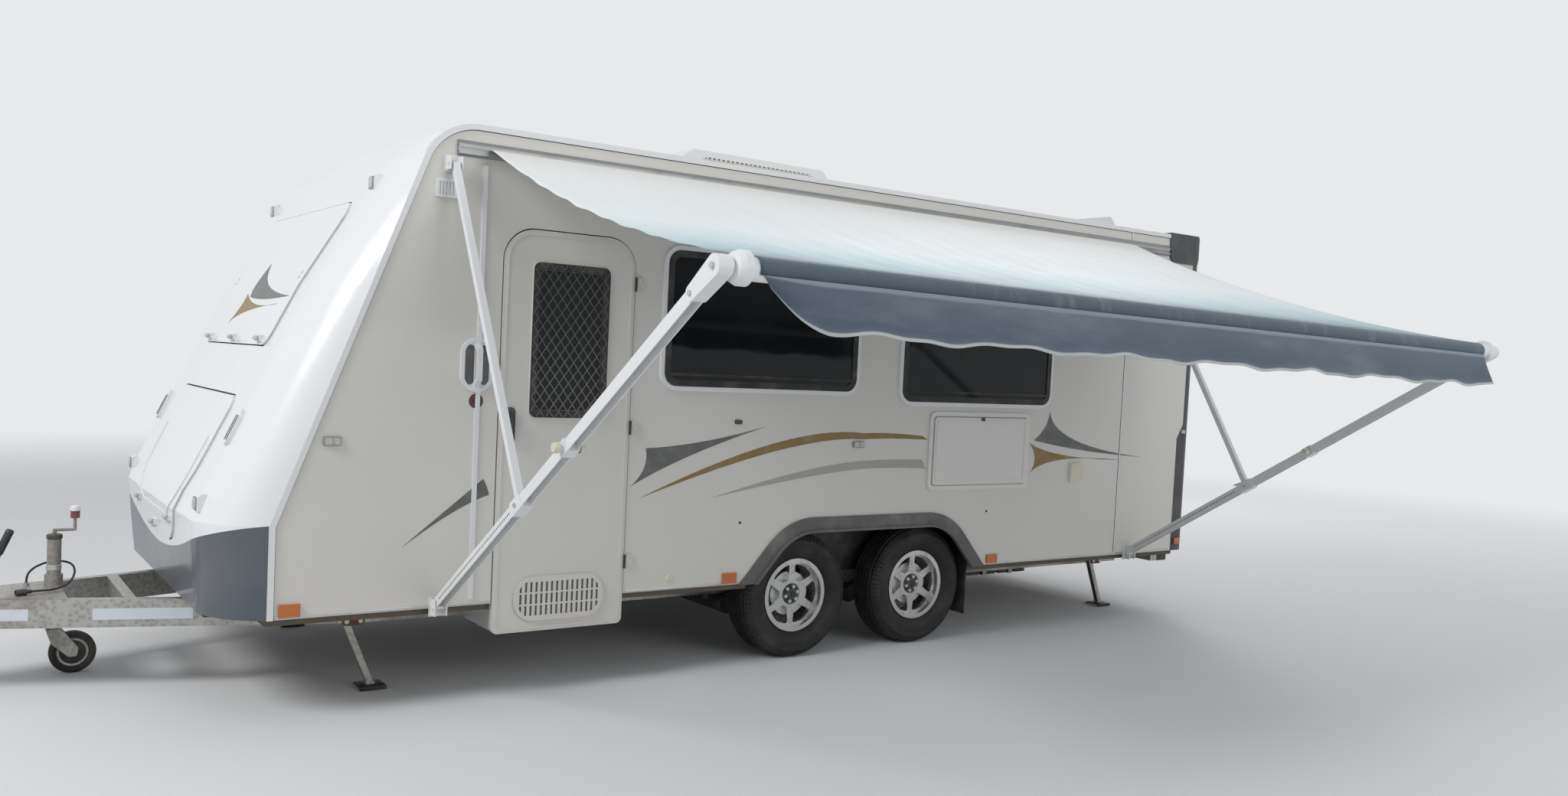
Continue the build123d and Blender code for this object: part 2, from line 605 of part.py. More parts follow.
def jockey():
    mast = Pos(MAST_X, MAST_Y, 0) * (xy(Circle(MAST_R), 300, 665) - xy(Circle(MAST_R - 4), 200, 655))
    mast += box(-667, -643, MAST_Y + MAST_R - 5, MAST_Y + MAST_R + 40, 512, 525)
    mast += rod((MAST_X, MAST_Y, 664), (MAST_X, MAST_Y, 690), 9)
    mast += rod((MAST_X - 6, MAST_Y, 690), (MAST_X + 90, MAST_Y, 690), 7)
    mast += rod((MAST_X + 84, MAST_Y, 684), (MAST_X + 84, MAST_Y, 750), 7)
    mast += Pos(MAST_X + 84, MAST_Y, 0) * xy(Circle(18), 745, 800)
    save("jockey_mast", mast)
    leg = Pos(MAST_X, MAST_Y, 0) * xy(Circle(24), 232, 560)
    save("jockey_leg", leg)
    x = MAST_X + JOCKEY_TRAIL
    fork = Pos(MAST_X, MAST_Y, 0) * xy(Circle(27), 214, 230)
    cheek = outline(((MAST_X - 30, 218), (MAST_X + 34, 218), (x + 22, 124), (x + 16, 82), (x - 20, 82),
                     (MAST_X - 8, 150)), (4, 8, 10, 12, 12, 40))
    for sign in (-1, 1):
        y = MAST_Y + sign * 33
        fork += xz(cheek, y - 3, y + 3)
    fork += box(MAST_X - 26, MAST_X + 28, MAST_Y - 36, MAST_Y + 36, 212, 218)
    fork += rod((x, MAST_Y - 38, JOCKEY_R), (x, MAST_Y + 38, JOCKEY_R), 8)
    save("jockey_fork", fork)
    half = ((8 + RUNNING, 24), (22, 24), (26, 12), (70, 12), (86, 23), (JOCKEY_R, 14))
    wheel = make_face(Polyline(*half, *[(radius, -y) for radius, y in reversed(half)], close=True))
    save("jockey_wheel", Pos(x, MAST_Y, JOCKEY_R) * Rot(90, 0, 0) * revolve(Plane.XZ * wheel, Axis.Z))


def lead():
    """Trailer lead: the free lead and the plug on its end."""
    route = [Vector(*point) for point in LEAD_ROUTE]
    radii = []
    for before, at, after in zip(route, route[1:], route[2:]):
        turn = radians((at - before).get_angle(after - at))
        radii.append(0.45 * min((at - before).length, (after - at).length) / tan(turn / 2))
    print("lead radii", [round(radius) for radius in radii])
    path = FilletPolyline(*route, radius=radii)
    tube = sweep(Plane(path @ 0, z_dir=path % 0) * RegularPolygon(LEAD_D / 2 * 1.054, 8), path)
    print("lead length", round(path.length), "volume ratio", round(tube.volume / (pi * LEAD_D ** 2 / 4 * path.length), 4))
    save("lead", tube)
    aim = (route[-1] - route[-2]).normalized()
    aim = Vector(aim.X, aim.Y, 0).normalized()
    plug = rod(tuple(route[-1]), tuple(route[-1] + aim * 24), 9)
    plug += rod(tuple(route[-1] + aim * 20), tuple(route[-1] + aim * PLUG_LONG), 14.5)
    save("lead_plug", plug)


def water_tanks():
    """Moulded tanks hung between the cross members, with grooves across their undersides."""
    tanks, half = [], RAIL_Y - RAIL_WIDE / 2 - TANK_GAP
    for bay in TANK_BAYS:
        x0, x1 = CROSS_X[bay] + 27, CROSS_X[bay + 1] - 27
        tank = xy(rounded(x0, x1, -half, half, 60), RAIL_TOP - TANK_HIGH, RAIL_TOP)
        for step in range(1, 4):
            x = x0 + (x1 - x0) * step / 4
            tank -= box(x - 20, x + 20, -half, half, RAIL_TOP - TANK_HIGH - 1, RAIL_TOP - TANK_HIGH + 15)
        tanks.append(tank)
    save("water_tanks", *tanks)


def corner_legs():
    """Drop-down corner steadies, drawn lowered, with their feet on the ground."""
    for place, x in zip(("front", "rear"), LEG_X):
        for side, sign in (("left", -1), ("right", 1)):
            y = sign * LEG_Y
            foot_x = x + LEG_REACH
            leg = channel((x, y, LEG_PIVOT_Z), (foot_x - 4, y, 22), 34, 30, 5, side=(0, 1, 0))
            leg += rod((x, y - 24, LEG_PIVOT_Z), (x, y + 24, LEG_PIVOT_Z), 16)
            leg += box(foot_x - 70, foot_x + 50, y - 50, y + 50, 0, 14)
            leg += box(foot_x - 26, foot_x + 14, y - 20, y + 20, 14, 34)
            leg -= rod((x, y - 60, LEG_PIVOT_Z), (x, y + 60, LEG_PIVOT_Z), 8 + RUNNING)
            save(f"leg_{place}_{side}", leg)


def wheel_rim():
    """Six-spoke alloy rim over its brake drum, axis along Z and its face towards +Z."""
    lip = RIM_WIDE / 2
    well = RIM_SEAT_R - 9
    half = ((well, -lip), (RIM_R, -lip), (RIM_SEAT_R, 12 - lip))
    barrel = half + tuple((radius, -z) for radius, z in reversed(half))
    rim = revolve(Plane.XZ * make_face(Polyline(*barrel, close=True)), Axis.Z)
    disc = ((0, 16), (well + 3, 16), (well + 3, 44), (HUB_R - 6, 44), (HUB_R - 12, 34), (30, 34), (26, 58), (0, 58))
    face = revolve(Plane.XZ * make_face(Polyline(*disc, close=True)), Axis.Z)
    inner, outer = HUB_R + 14, well - 9
    half_in = inner * sin(pi / SPOKES) - SPOKE_HUB / 2
    half_out = outer * sin(pi / SPOKES) - SPOKE_TIP / 2
    deep_out = (outer ** 2 - half_out ** 2) ** 0.5
    window = outline(((inner, -half_in), (deep_out, -half_out), (outer + 3, 0), (deep_out, half_out),
                      (inner, half_in)), (12, 14, 60, 14, 12))
    for turn in range(SPOKES):
        face -= Rot(0, 0, turn * 360 / SPOKES) * xy(window, 0, 80)
    rim += face + xy(Circle(DRUM_R), -DRUM_LONG, 17)
    return rim - xy(Circle(STUB_R + RUNNING), -100, 50)


def tyre_ring():
    wide = TYRE_WIDE / 2
    half = ((RIM_SEAT_R, 67), (RIM_R + 4, 82), (TYRE_R - 70, wide), (TYRE_R - 22, wide - 8), (TYRE_R, wide - 34))
    points = half + tuple((radius, -y) for radius, y in reversed(half))
    return revolve(Plane.XZ * make_face(Polyline(*points, close=True)), Axis.Z)


def torsion_axle(x):
    """Torsion axle under both rails: its tube, and a trailing arm with its stub at each end."""
    tube_z = RAIL_TOP - RAIL_HIGH - 8 - TUBE_HALF
    tube_x = x - ARM_REACH
    tube = Pos(tube_x, tube_z) * RegularPolygon(TUBE_HALF, 6, major_radius=False)
    axle = xz(tube, -ARM_Y, ARM_Y)
    arm = xz(link((tube_x, tube_z), (x, AXLE_Z), TUBE_HALF + 8, 38), ARM_Y - 24, ARM_Y + 24)
    arm += rod((x, ARM_Y, AXLE_Z), (x, WHEEL_Y + 48, AXLE_Z), STUB_R)
    arm += rod((x, ARM_Y, AXLE_Z), (x, WHEEL_Y - DRUM_LONG - 14, AXLE_Z), 40)
    arm += box(tube_x - 75, tube_x + 75, RAIL_Y - 30, RAIL_Y + 30, tube_z + 20, RAIL_TOP - RAIL_HIGH)
    for half in both(arm):
        axle += half
    return axle


def wheels():
    rim, tyre = wheel_rim(), tyre_ring()
    for place, x in zip(("front", "rear"), AXLE_X):
        for side, sign in (("left", -1), ("right", 1)):
            seat = Pos(x, sign * WHEEL_Y, AXLE_Z) * Rot(-90 * sign, 0, 0)
            save(f"rim_{place}_{side}", seat * rim)
            save(f"tyre_{place}_{side}", seat * tyre)
    save("trailing_arms", *[torsion_axle(x) for x in AXLE_X])


def spare():
    seat = Pos(BODY_REAR + 150, 0, 800) * Rot(0, 90, 0)
    save("spare_rim", seat * wheel_rim())
    save("spare_tyre", seat * tyre_ring())
    bumper = box(BODY_REAR + 12, BODY_REAR + 112, -900, 900, 330, 430)
    for sign in (-1, 1):
        bumper += box(6105, BODY_REAR + 20, sign * RAIL_Y - 25, sign * RAIL_Y + 25, 340, 420)
    bumper += box(BODY_REAR + 12, BODY_REAR + 38, -40, 40, 420, 830)
    bumper += rod((BODY_REAR + 30, 0, 800), (BODY_REAR + 185, 0, 800), STUB_R)
    save("bumper", bumper)


def diamond_grille(x0, x1, z0, z1):
    """Face of the security grille: diamonds between its wires, cut off at the border."""
    wide, high = (x1 - x0) / GRILLE_COLUMNS, (z1 - z0) / GRILLE_ROWS
    a, b = wide / 2 - GRILLE_WIRE * 0.6, high / 2 - GRILLE_WIRE * 0.8
    diamond = make_face(Polyline((-a, 0), (0, b), (a, 0), (0, -b), close=True))
    inside = rect(x0 + GRILLE_WIRE, x1 - GRILLE_WIRE, z0 + GRILLE_WIRE, z1 - GRILLE_WIRE)
    holes = []
    for row in range(2 * GRILLE_ROWS + 1):
        shift = 0.5 * ((row + 1) % 2)
        for column in range(GRILLE_COLUMNS + 1 - row % 2):
            holes.append(Pos(x0 + wide * (column + 0.5 - shift), z0 + high * row / 2) * diamond)
    return rect(x0, x1, z0, z1) - (inside & Sketch() + holes)


def door():
    """Door leaf with its raised window frame and vent; the grille, handle and hinges apart."""
    skin = -HALF - DOOR_PROUD
    leaf = xz(door_face(0), skin, skin + DOOR_THICK)
    leaf += xz(door_face(-14) - door_face(-24), skin - 3, skin + 1)
    x0, x1, z0, z1 = DOOR_PANE
    leaf -= xz(rounded(x0, x1, z0, z1, 40), skin - 54, 60 - HALF)
    save("door_glass", xz(rounded(x0, x1, z0, z1, 40), 8 - HALF, 13 - HALF))
    leaf += xz(rounded(x0, x1, z0, z1, 5, 25) - rect(x0 + 8, x1 - 8, z0 + 8, z1 - 8), skin - 10, skin)
    save("door_screen", xz(diamond_grille(x0 + 8, x1 - 8, z0 + 8, z1 - 8), skin - 4, skin))
    vx0, vx1, vz0, vz1 = DOOR_FRONT + 102, DOOR_REAR - 112, 360, 575
    leaf += xz(rounded(vx0, vx1, vz0, vz1, 100), skin - 12, skin)
    slots = []
    for row in range(VENT_ROWS):
        for column in range(VENT_SLOTS):
            x = vx0 + (vx1 - vx0) * (column + 1.3) / (VENT_SLOTS + 1.6)
            z = vz0 + 26 + (vz1 - vz0 - 46) * row / VENT_ROWS
            slots.append(rect(x - 6, x + 6, z, z + (vz1 - vz0 - 46) / VENT_ROWS - 8))
    leaf -= xz(rounded(vx0, vx1, vz0, vz1, 100, -18) & Sketch() + slots, skin - 13, skin - 3)
    save("door", leaf)
    handle = xz(rounded(DOOR_FRONT + 30, DOOR_FRONT + 76, 1210, 1380, 22), skin - 12, skin)
    handle += bar((DOOR_FRONT + 53, skin - 6, 1240), (DOOR_FRONT + 53, skin - 36, 1262), 22, 14)
    handle += bar((DOOR_FRONT + 53, skin - 36, 1256), (DOOR_FRONT + 53, skin - 36, 1334), 22, 10)
    handle += bar((DOOR_FRONT + 53, skin - 36, 1328), (DOOR_FRONT + 53, skin - 6, 1350), 22, 14)
    save("door_handle", handle)
    hinges = []
    for z in (620, 1290, 2000):
        knuckle = Pos(DOOR_REAR + 3, -HALF - 12, z - 35) * extrude(Circle(6), 70)
        hinges.append(knuckle + box(DOOR_REAR + 3, DOOR_REAR + 45, -HALF - 12, -HALF, z - 35, z + 35))
    save("door_hinges", *hinges)


def table():
    x0, x1, z0, z1 = 3693, 4540, 932, 1403
    frame = xz(rounded(x0, x1, z0, z1, 45), -HALF - 12, -HALF)
    frame -= xz(rounded(x0 + 26, x1 - 26, z0 + 26, z1 - 26, 25), -HALF - 20, HALF)
    save("table_frame", frame)
    leaf = xz(rounded(x0 + 32, x1 - 32, z0 + 32, z1 - 32, 20), -HALF - 20, -HALF - 2)
    bead = rounded(x0 + 46, x1 - 46, z0 + 46, z1 - 46, 22) - rounded(x0 + 56, x1 - 56, z0 + 56, z1 - 56, 16)
    save("table_leaf", leaf + xz(bead, -HALF - 23, -HALF - 19))


def awning():
    """Side awning: rail, roller, two folding arm sets, cloth and valance."""
    section = ((-HALF, RAIL_Z - 30), (-HALF, RAIL_Z + 40), (-HALF - 8, RAIL_Z + 40), (-HALF - 24, RAIL_Z + 22),
               (-HALF - 24, RAIL_Z + 12), (-HALF - 14, RAIL_Z + 12), (-HALF - 14, RAIL_Z - 8),
               (-HALF - 24, RAIL_Z - 8), (-HALF - 24, RAIL_Z - 22), (-HALF - 12, RAIL_Z - 30))
    save("awning_rail", yz(make_face(Polyline(*section, close=True)), AWNING_X[0] + 20, SPOILER_X - 20))
    save("awning_arms", *[arm_set(x, z) for x, z in zip(AWNING_X, ROLLER_Z)])
    ends = [Vector(x, ROLLER_Y, z) for x, z in zip(AWNING_X, ROLLER_Z)]
    along = (ends[1] - ends[0]).normalized()
    first, last = ends[0] + along * (KNUCKLE_HALF + 0.5), ends[1] - along * (KNUCKLE_HALF + 0.5)
    roller = rod(first + along * 60, last - along * 60, ROLLER_R)
    for end, inwards in ((first, along), (last, -along)):
        roller += rod(end, end + inwards * 70, 14)
        cap = make_face(Polyline((0, 6), (24, 6), (CAP_R - 8, 16), (CAP_R, 34), (CAP_R, 62), (0, 62), close=True))
        roller += Plane(end, z_dir=inwards) * revolve(Plane.XZ * cap, Axis.Z)
    save("awning_roller", roller)
    save("awning_canopy", loft([cloth_section(x) for x in CLOTH_X], ruled=True))
    x0, x1 = CLOTH_X
    tops = [roller_z(x) - 7 for x in CLOTH_X]
    hem = ((x0, tops[0]), (x1, tops[1]), (x1 - 20, tops[1] - 185), (x0 + 220, tops[0] - 185), (x0 + 90, tops[0] - 130))
    save("awning_valance", xz(outline(hem, (0, 0, 30, 60, 60)), ROLLER_Y - 46, ROLLER_Y - 40))


def roller_z(x):
    """Height of the roller's axis, which slopes a little."""
    (x0, x1), (z0, z1) = AWNING_X, ROLLER_Z
    return z0 + (z1 - z0) * (x - x0) / (x1 - x0)


def cloth_section(x):
    """Sagging section of the canopy across the side, from its rail to the top of the roller."""
    y0, y1 = -HALF - 26, ROLLER_Y
    z0, z1 = RAIL_Z - 4, roller_z(x) + ROLLER_R + 2
    middle = ((y0 + y1) / 2, (z0 + z1) / 2 - CLOTH_SAG)
    edges = [
        ThreePointArc((y0, z0), middle, (y1, z1)),
        Line((y1, z1), (y1, z1 + CLOTH_THICK)),
        ThreePointArc((y1, z1 + CLOTH_THICK), (middle[0], middle[1] + CLOTH_THICK), (y0, z0 + CLOTH_THICK)),
        Line((y0, z0 + CLOTH_THICK), (y0, z0)),
    ]
    return Plane.YZ.offset(x) * make_face(edges)


def arm_set(x, z):
    """Main arm with its row of holes, knuckle, rafter and clamp, for a roller at height z."""
    foot, head = Vector(x, -HALF - 26, ARM_FOOT_Z), Vector(x, ROLLER_Y, z)
    along = (head - foot).normalized()
    reach = (head - foot).length
    arm = channel(foot, head - along * 40, ARM_WIDE, ARM_DEEP, ARM_SKIN)
    for step in range(ARM_HOLES):
        hole = foot + along * (110 + step * (reach * SLIDE_SHARE - 240) / ARM_HOLES)
        arm -= bar(hole, hole + along * 14, 9, 20, lift=ARM_DEEP / 2)
    head_flat, heel = (head.Y, head.Z), head - along * 150
    arm += yz(link(head_flat, (heel.Y, heel.Z), 36, 26), x - KNUCKLE_HALF, x + KNUCKLE_HALF)
    slide = foot + along * (reach * SLIDE_SHARE)
    arm += bar(slide - along * 50, slide + along * 50, ARM_WIDE + 10, ARM_DEEP + 12)
    grip = slide + along * (reach * 0.18)
    arm += bar(grip - along * 28, grip + along * 28, ARM_WIDE + 12, ARM_DEEP + 8)
    arm += bolt(grip - Vector(50, 0, 0), grip + Vector(50, 0, 0), 15)
    top = Vector(x, -HALF - 36, RAIL_Z - 72)
    arm += channel(top, slide, RAFTER_WIDE, RAFTER_WIDE, 3)
    lever = slide - along * 30 + Vector(0, 0, 38)
    arm += bar(slide + Vector(0, 0, 20), lever, 16, 12)
    arm += bar(lever, lever - along * 75 + Vector(0, 0, 12), 16, 8)
    for low, high in ((ARM_FOOT_Z - 60, ARM_FOOT_Z + 30), (RAIL_Z - 110, RAIL_Z - 34)):
        arm += box(x - 38, x + 38, -HALF - 6, -HALF, low, high)
        for edge in (-1, 1):
            cheek = rect(-HALF - 56, -HALF, low + 8, high - 8)
            arm += yz(cheek, x + edge * 27 - 3, x + edge * 27 + 3)
        middle = (low + high) / 2
        arm += bolt((x - 36, -HALF - 34, middle), (x + 36, -HALF - 34, middle), 10)
    return arm


def roof_fittings():
    """Roof cooler with louvred intakes on both sides, and the domed lid of the roof hatch."""
    x0, x1 = COOLER_X
    top = ROOF_Z + COOLER_HIGH
    points = ((x0, ROOF_Z), (x0 + 20, ROOF_Z + 60), (x0 + 280, top), (x1 - 56, top - 10), (x1, top - 135), (x1, ROOF_Z))
    cooler = xz(outline(points, (0, 0, 60, 40, 0, 0)), -COOLER_HALF, COOLER_HALF)
    taper = ((-COOLER_HALF, ROOF_Z), (-COOLER_HALF, ROOF_Z + 60), (60 - COOLER_HALF, top + 5),
             (COOLER_HALF - 60, top + 5), (COOLER_HALF, ROOF_Z + 60), (COOLER_HALF, ROOF_Z))
    cooler &= yz(outline(taper, (0, 0, 30, 30, 0, 0)), x0, x1)
    grille = outline(((x0 + 310, top - 130), (x0 + 350, top - 42), (x1 - 170, top - 48), (x1 - 120, top - 130)), 20)
    intake = xz(grille, COOLER_HALF - 62, COOLER_HALF + 5)
    for step in range(LOUVRES):
        x = x0 + 330 + (x1 - x0 - 470) * step / (LOUVRES - 1)
        intake -= box(x - 6, x + 6, 0, COOLER_HALF - 42, ROOF_Z, top)
    for cut in both(intake):
        cooler -= cut
    save("roof_cooler", cooler)
    x0, x1, foot = HATCH_X[0] - HATCH_LAP, HATCH_X[1] + HATCH_LAP, ROOF_Z + CURB_HIGH + 5
    points = ((x0, foot), (x0, foot + 20), (x1 - 55, foot + 80), (x1, foot + 20), (x1, foot))
    lid = xz(outline(points, (0, 8, 30, 8, 0)), HATCH_Y[0] - HATCH_LAP, HATCH_Y[1] + HATCH_LAP)
    save("hatch_lid", lid)


def lamps():
    """Amber markers along both walls, and the tail lamps."""
    beside = ARCH_FOOT + MARKER_GAP + MARKER_HALF
    lenses = []
    for x in (90, ARCH_X - beside, ARCH_X + beside):
        lenses += both(box(x - MARKER_HALF, x + MARKER_HALF, HALF, HALF + 12, *MARKER_Z))
    for sign in (-1, 1):
        y = sign * 960
        lenses.append(yz(rounded(y - 90, y + 90, 620, 900, 20), BODY_REAR, BODY_REAR + 22))
    save("lamps", *lenses)


def louvred(x0, x1, z0, z1, slats, deep=12):
    """Wall vent with a row of upright slots."""
    plate = xz(rect(x0, x1, z0, z1), HALF, HALF + deep)
    pitch = (x1 - x0 - 24) / slats
    for step in range(slats):
        x = x0 + 12 + pitch * (step + 0.2)
        plate -= box(x, x + pitch * 0.6, HALF + 4, HALF + deep + 1, z0 + 12, z1 - 12)
    return plate


def small_fittings():
    """Grab handle on its cover strip, vents and power inlet."""
    handle = xz(rounded(804, 962, 1447, 1696, 75), HALF, HALF + 10)
    handle -= xz(rounded(822, 944, 1465, 1678, 58), HALF + 5, HALF + 11)
    handle += box(870, 896, HALF, HALF + 10, 1460, 1680)
    grip = bar((883, HALF + 5, 1480), (883, HALF + 34, 1505), 26, 16)
    grip += bar((883, HALF + 34, 1500), (883, HALF + 34, 1645), 26, 12)
    grip += bar((883, HALF + 34, 1640), (883, HALF + 5, 1665), 26, 16)
    handle += grip
    handle += xz(rect(STRIP_X - 11, STRIP_X + 11, WALL_BASE + 30, 1447 + 20), HALF, HALF + 7)
    handle += xz(rect(STRIP_X - 11, STRIP_X + 11, 1696 - 20, RAIL_Z - 60), HALF, HALF + 7)
    near = [handle, louvred(659, 759, 2315, 2398, 5, 10)]
    near.append(xz(rounded(4935, 5046, 957, 1094, 10), HALF, HALF + 16))
    far = [louvred(4300, 4750, z, z + 230, 14) for z in (620, 1180)]
    save("wall_fittings", *[mirrored(item) for item in near], *far)


walls()
windows()
roof()
front()
gas_locker()
rear()
floor()
arches()
chassis()
coupling()
jockey()
lead()
water_tanks()
corner_legs()
wheels()
spare()
door()
table()
awning()
roof_fittings()
lamps()
small_fittings()
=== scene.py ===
"""Finishes, cloth, tread, trims and small parts of a tandem-axle travel caravan.

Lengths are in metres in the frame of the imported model: the origin is the centre of the tow
ball, X runs rearwards and the entry door is at -Y. Places on the body are given from the foot
of the side walls' front edge (x), from the centreline (y) and above the ground (z). A box on a
wall is its front edge, rear edge, foot and top.
"""

import json
from math import cos, hypot, pi, radians, sin, tan

import bmesh
import bpy
from bpy.props import FloatProperty, FloatVectorProperty, IntProperty, PointerProperty
from mathutils import Matrix, Vector
from mathutils.bvhtree import BVHTree


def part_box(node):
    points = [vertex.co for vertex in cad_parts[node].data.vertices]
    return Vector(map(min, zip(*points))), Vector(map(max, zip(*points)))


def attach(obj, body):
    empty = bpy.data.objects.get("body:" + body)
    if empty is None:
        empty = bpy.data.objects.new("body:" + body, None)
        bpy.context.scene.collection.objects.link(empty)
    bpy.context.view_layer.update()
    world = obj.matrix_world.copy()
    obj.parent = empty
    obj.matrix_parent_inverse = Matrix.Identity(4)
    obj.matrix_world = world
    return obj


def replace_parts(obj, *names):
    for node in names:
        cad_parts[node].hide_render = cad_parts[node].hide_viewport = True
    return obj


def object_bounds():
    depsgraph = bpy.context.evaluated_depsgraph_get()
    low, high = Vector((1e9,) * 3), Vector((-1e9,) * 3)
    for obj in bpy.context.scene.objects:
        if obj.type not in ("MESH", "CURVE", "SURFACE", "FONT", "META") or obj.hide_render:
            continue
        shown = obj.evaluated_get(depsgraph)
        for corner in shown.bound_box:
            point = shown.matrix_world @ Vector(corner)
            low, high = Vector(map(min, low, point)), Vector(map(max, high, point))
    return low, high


bl_info = {
    "name": "Travel Caravan Dressing",
    "version": (1, 0, 0),
    "blender": (4, 5, 0),
    "location": "View3D > Sidebar > Caravan",
    "description": "Builds the finishes, cloth and small parts of a travel caravan round its frame",
    "category": "Object",
}

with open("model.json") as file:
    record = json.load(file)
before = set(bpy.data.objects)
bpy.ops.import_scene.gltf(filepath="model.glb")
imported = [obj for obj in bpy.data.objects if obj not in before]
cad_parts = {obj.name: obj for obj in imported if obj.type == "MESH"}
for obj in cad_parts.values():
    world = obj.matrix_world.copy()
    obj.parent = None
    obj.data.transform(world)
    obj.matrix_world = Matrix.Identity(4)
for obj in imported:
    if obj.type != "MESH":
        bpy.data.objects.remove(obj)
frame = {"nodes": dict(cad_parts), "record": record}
CAD_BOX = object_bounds()

GROUND = CAD_BOX[0].z
WALL_LOW, WALL_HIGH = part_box("wall_left")
FOOT_X = WALL_LOW.x
SIDE_Y = -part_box("front_skirt")[0].y
ROOF_Z = WALL_HIGH.z - GROUND
WALL_BASE = WALL_LOW.z - GROUND
REAR_INSET = 0.045
BODY_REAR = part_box("rear_panel")[1].x - FOOT_X + REAR_INSET

# Directions: out from the door side, forwards, rearwards and up
OUTWARD, FORWARD, BACK, UP = (0, -1, 0), (-1, 0, 0), (1, 0, 0), (0, 0, 1)

# How far a small part's foot goes under the surface it sits on
SUNK = 0.001

# Corners closer than this become one
MERGE = 1e-5

# Side profile: the straight foot ends at the knee, then the front leans back to the roof
KNEE_Z = 0.856
LEAN = radians(20.4)
ROOF_RADIUS = 0.27
ARC_X = (ROOF_Z - KNEE_Z) * tan(LEAN) + ROOF_RADIUS * tan((pi / 2 - LEAN) / 2)
ARC_STEPS = 14
SPOILER_X = 5.83
EDGE_WIDE = 0.026
EDGE_OUT = -WALL_LOW.y - SIDE_Y
EDGE_GAP = 0.0004

# Strips over the wall's seam: name, slot, half width, height and rounding
SEAM_X = 5.4335
SEAM_STRIPS = (("seam_strip", "frame_white", 0.006, 0.0035, 0.0015),
               ("seam_sealant", "black_rubber", 0.009, 0.0012, 0))

# Strip along a wall's foot (ends and height), which stops at the doorway and short of the arches
FOOT_STRIP = (0.03, 6.02, 0.016)
DOORWAY = (0.985, 1.697)
ARCH_GAP = 0.004

# Upper edge of the dark skirt: lowest at the centreline, and higher towards the sides
SKIRT_FOOT, SKIRT_RISE, SKIRT_CURVE = 0.640, 0.216, 1.8

# Windows: boxes on the door side, the far side and the rear
WINDOWS_NEAR = ((1.868, 3.109, 1.506, 2.191), (3.459, 4.698, 1.460, 2.145))
WINDOWS_FAR = ((1.5, 2.7, 1.506, 2.191), (4.3, 5.1, 1.506, 2.191))
REAR_WINDOW = (-0.45, 0.45, 1.6, 2.15)
WINDOW_RADIUS = 0.07

# Gasket of a window: growth and corner radius of its outlines, depth and place over the wall
GASKET_RINGS = ((0.002, WINDOW_RADIUS), (-0.032, WINDOW_RADIUS - 0.03))
GASKET_DEEP = 0.006
FRAME_PROUD = 0.014
GASKET_OUT = FRAME_PROUD - 0.004

# Trailer lead, from its gland over the peg on the mast and down to the plug
LEAD_WIDE = 0.010
LEAD_ROUTE = (
    (-0.775, 0.120, 0.446), (-0.775, 0.120, 0.478), (-0.748, 0.137, 0.508), (-0.702, 0.158, 0.527),
    (-0.655, 0.165, 0.533), (-0.612, 0.151, 0.531), (-0.586, 0.113, 0.520), (-0.581, 0.066, 0.499),
    (-0.592, 0.020, 0.475), (-0.616, -0.024, 0.455), (-0.650, -0.063, 0.445), (-0.692, -0.092, 0.441),
    (-0.735, -0.111, 0.445), (-0.770, -0.120, 0.445))
PLUG_RIBS, PLUG_RIB_HALF = 12, 0.0012

# Awning: the cloth leaves the rail, sags to the roller and wraps round its outer side
RAIL_LINE = (1.201, 2.552)
ROLLER_Y = 3.455
ROLLER_Z = (1.932, 1.886)
ROLLER_ENDS = (0.735, 5.565)
ROLLER_RADIUS = 0.038
CLOTH_ENDS = (0.905, 5.42)
CLOTH_TAPER = 0.05
WRAP_FROM, WRAP_TURN = 0.955, radians(115)
VALANCE_ENDS = (0.868, 5.415)
VALANCE_DROP = 0.165

# Waves of the cloth: height, and how fast they run along and across it
CANOPY_WAVES = ((0.004, 9, 3), (0.0025, 31, 7))
DROP_WAVES = ((0.008, 46, 0), (0.004, 113, 0))
SWING_WAVES = ((0.012, 23, 0), (0.004, 61, 0))

# Arms of the awning: the foot's height, the slide's place, and the pitch and start of its holes
ARM_FOOT_Z = 0.48
SLIDE_SHARE = 0.385
ARM_HALF = 0.021
HOLE_EVERY, HOLES_FROM, HOLES_OFF = 0.018, 0.07, 0.13

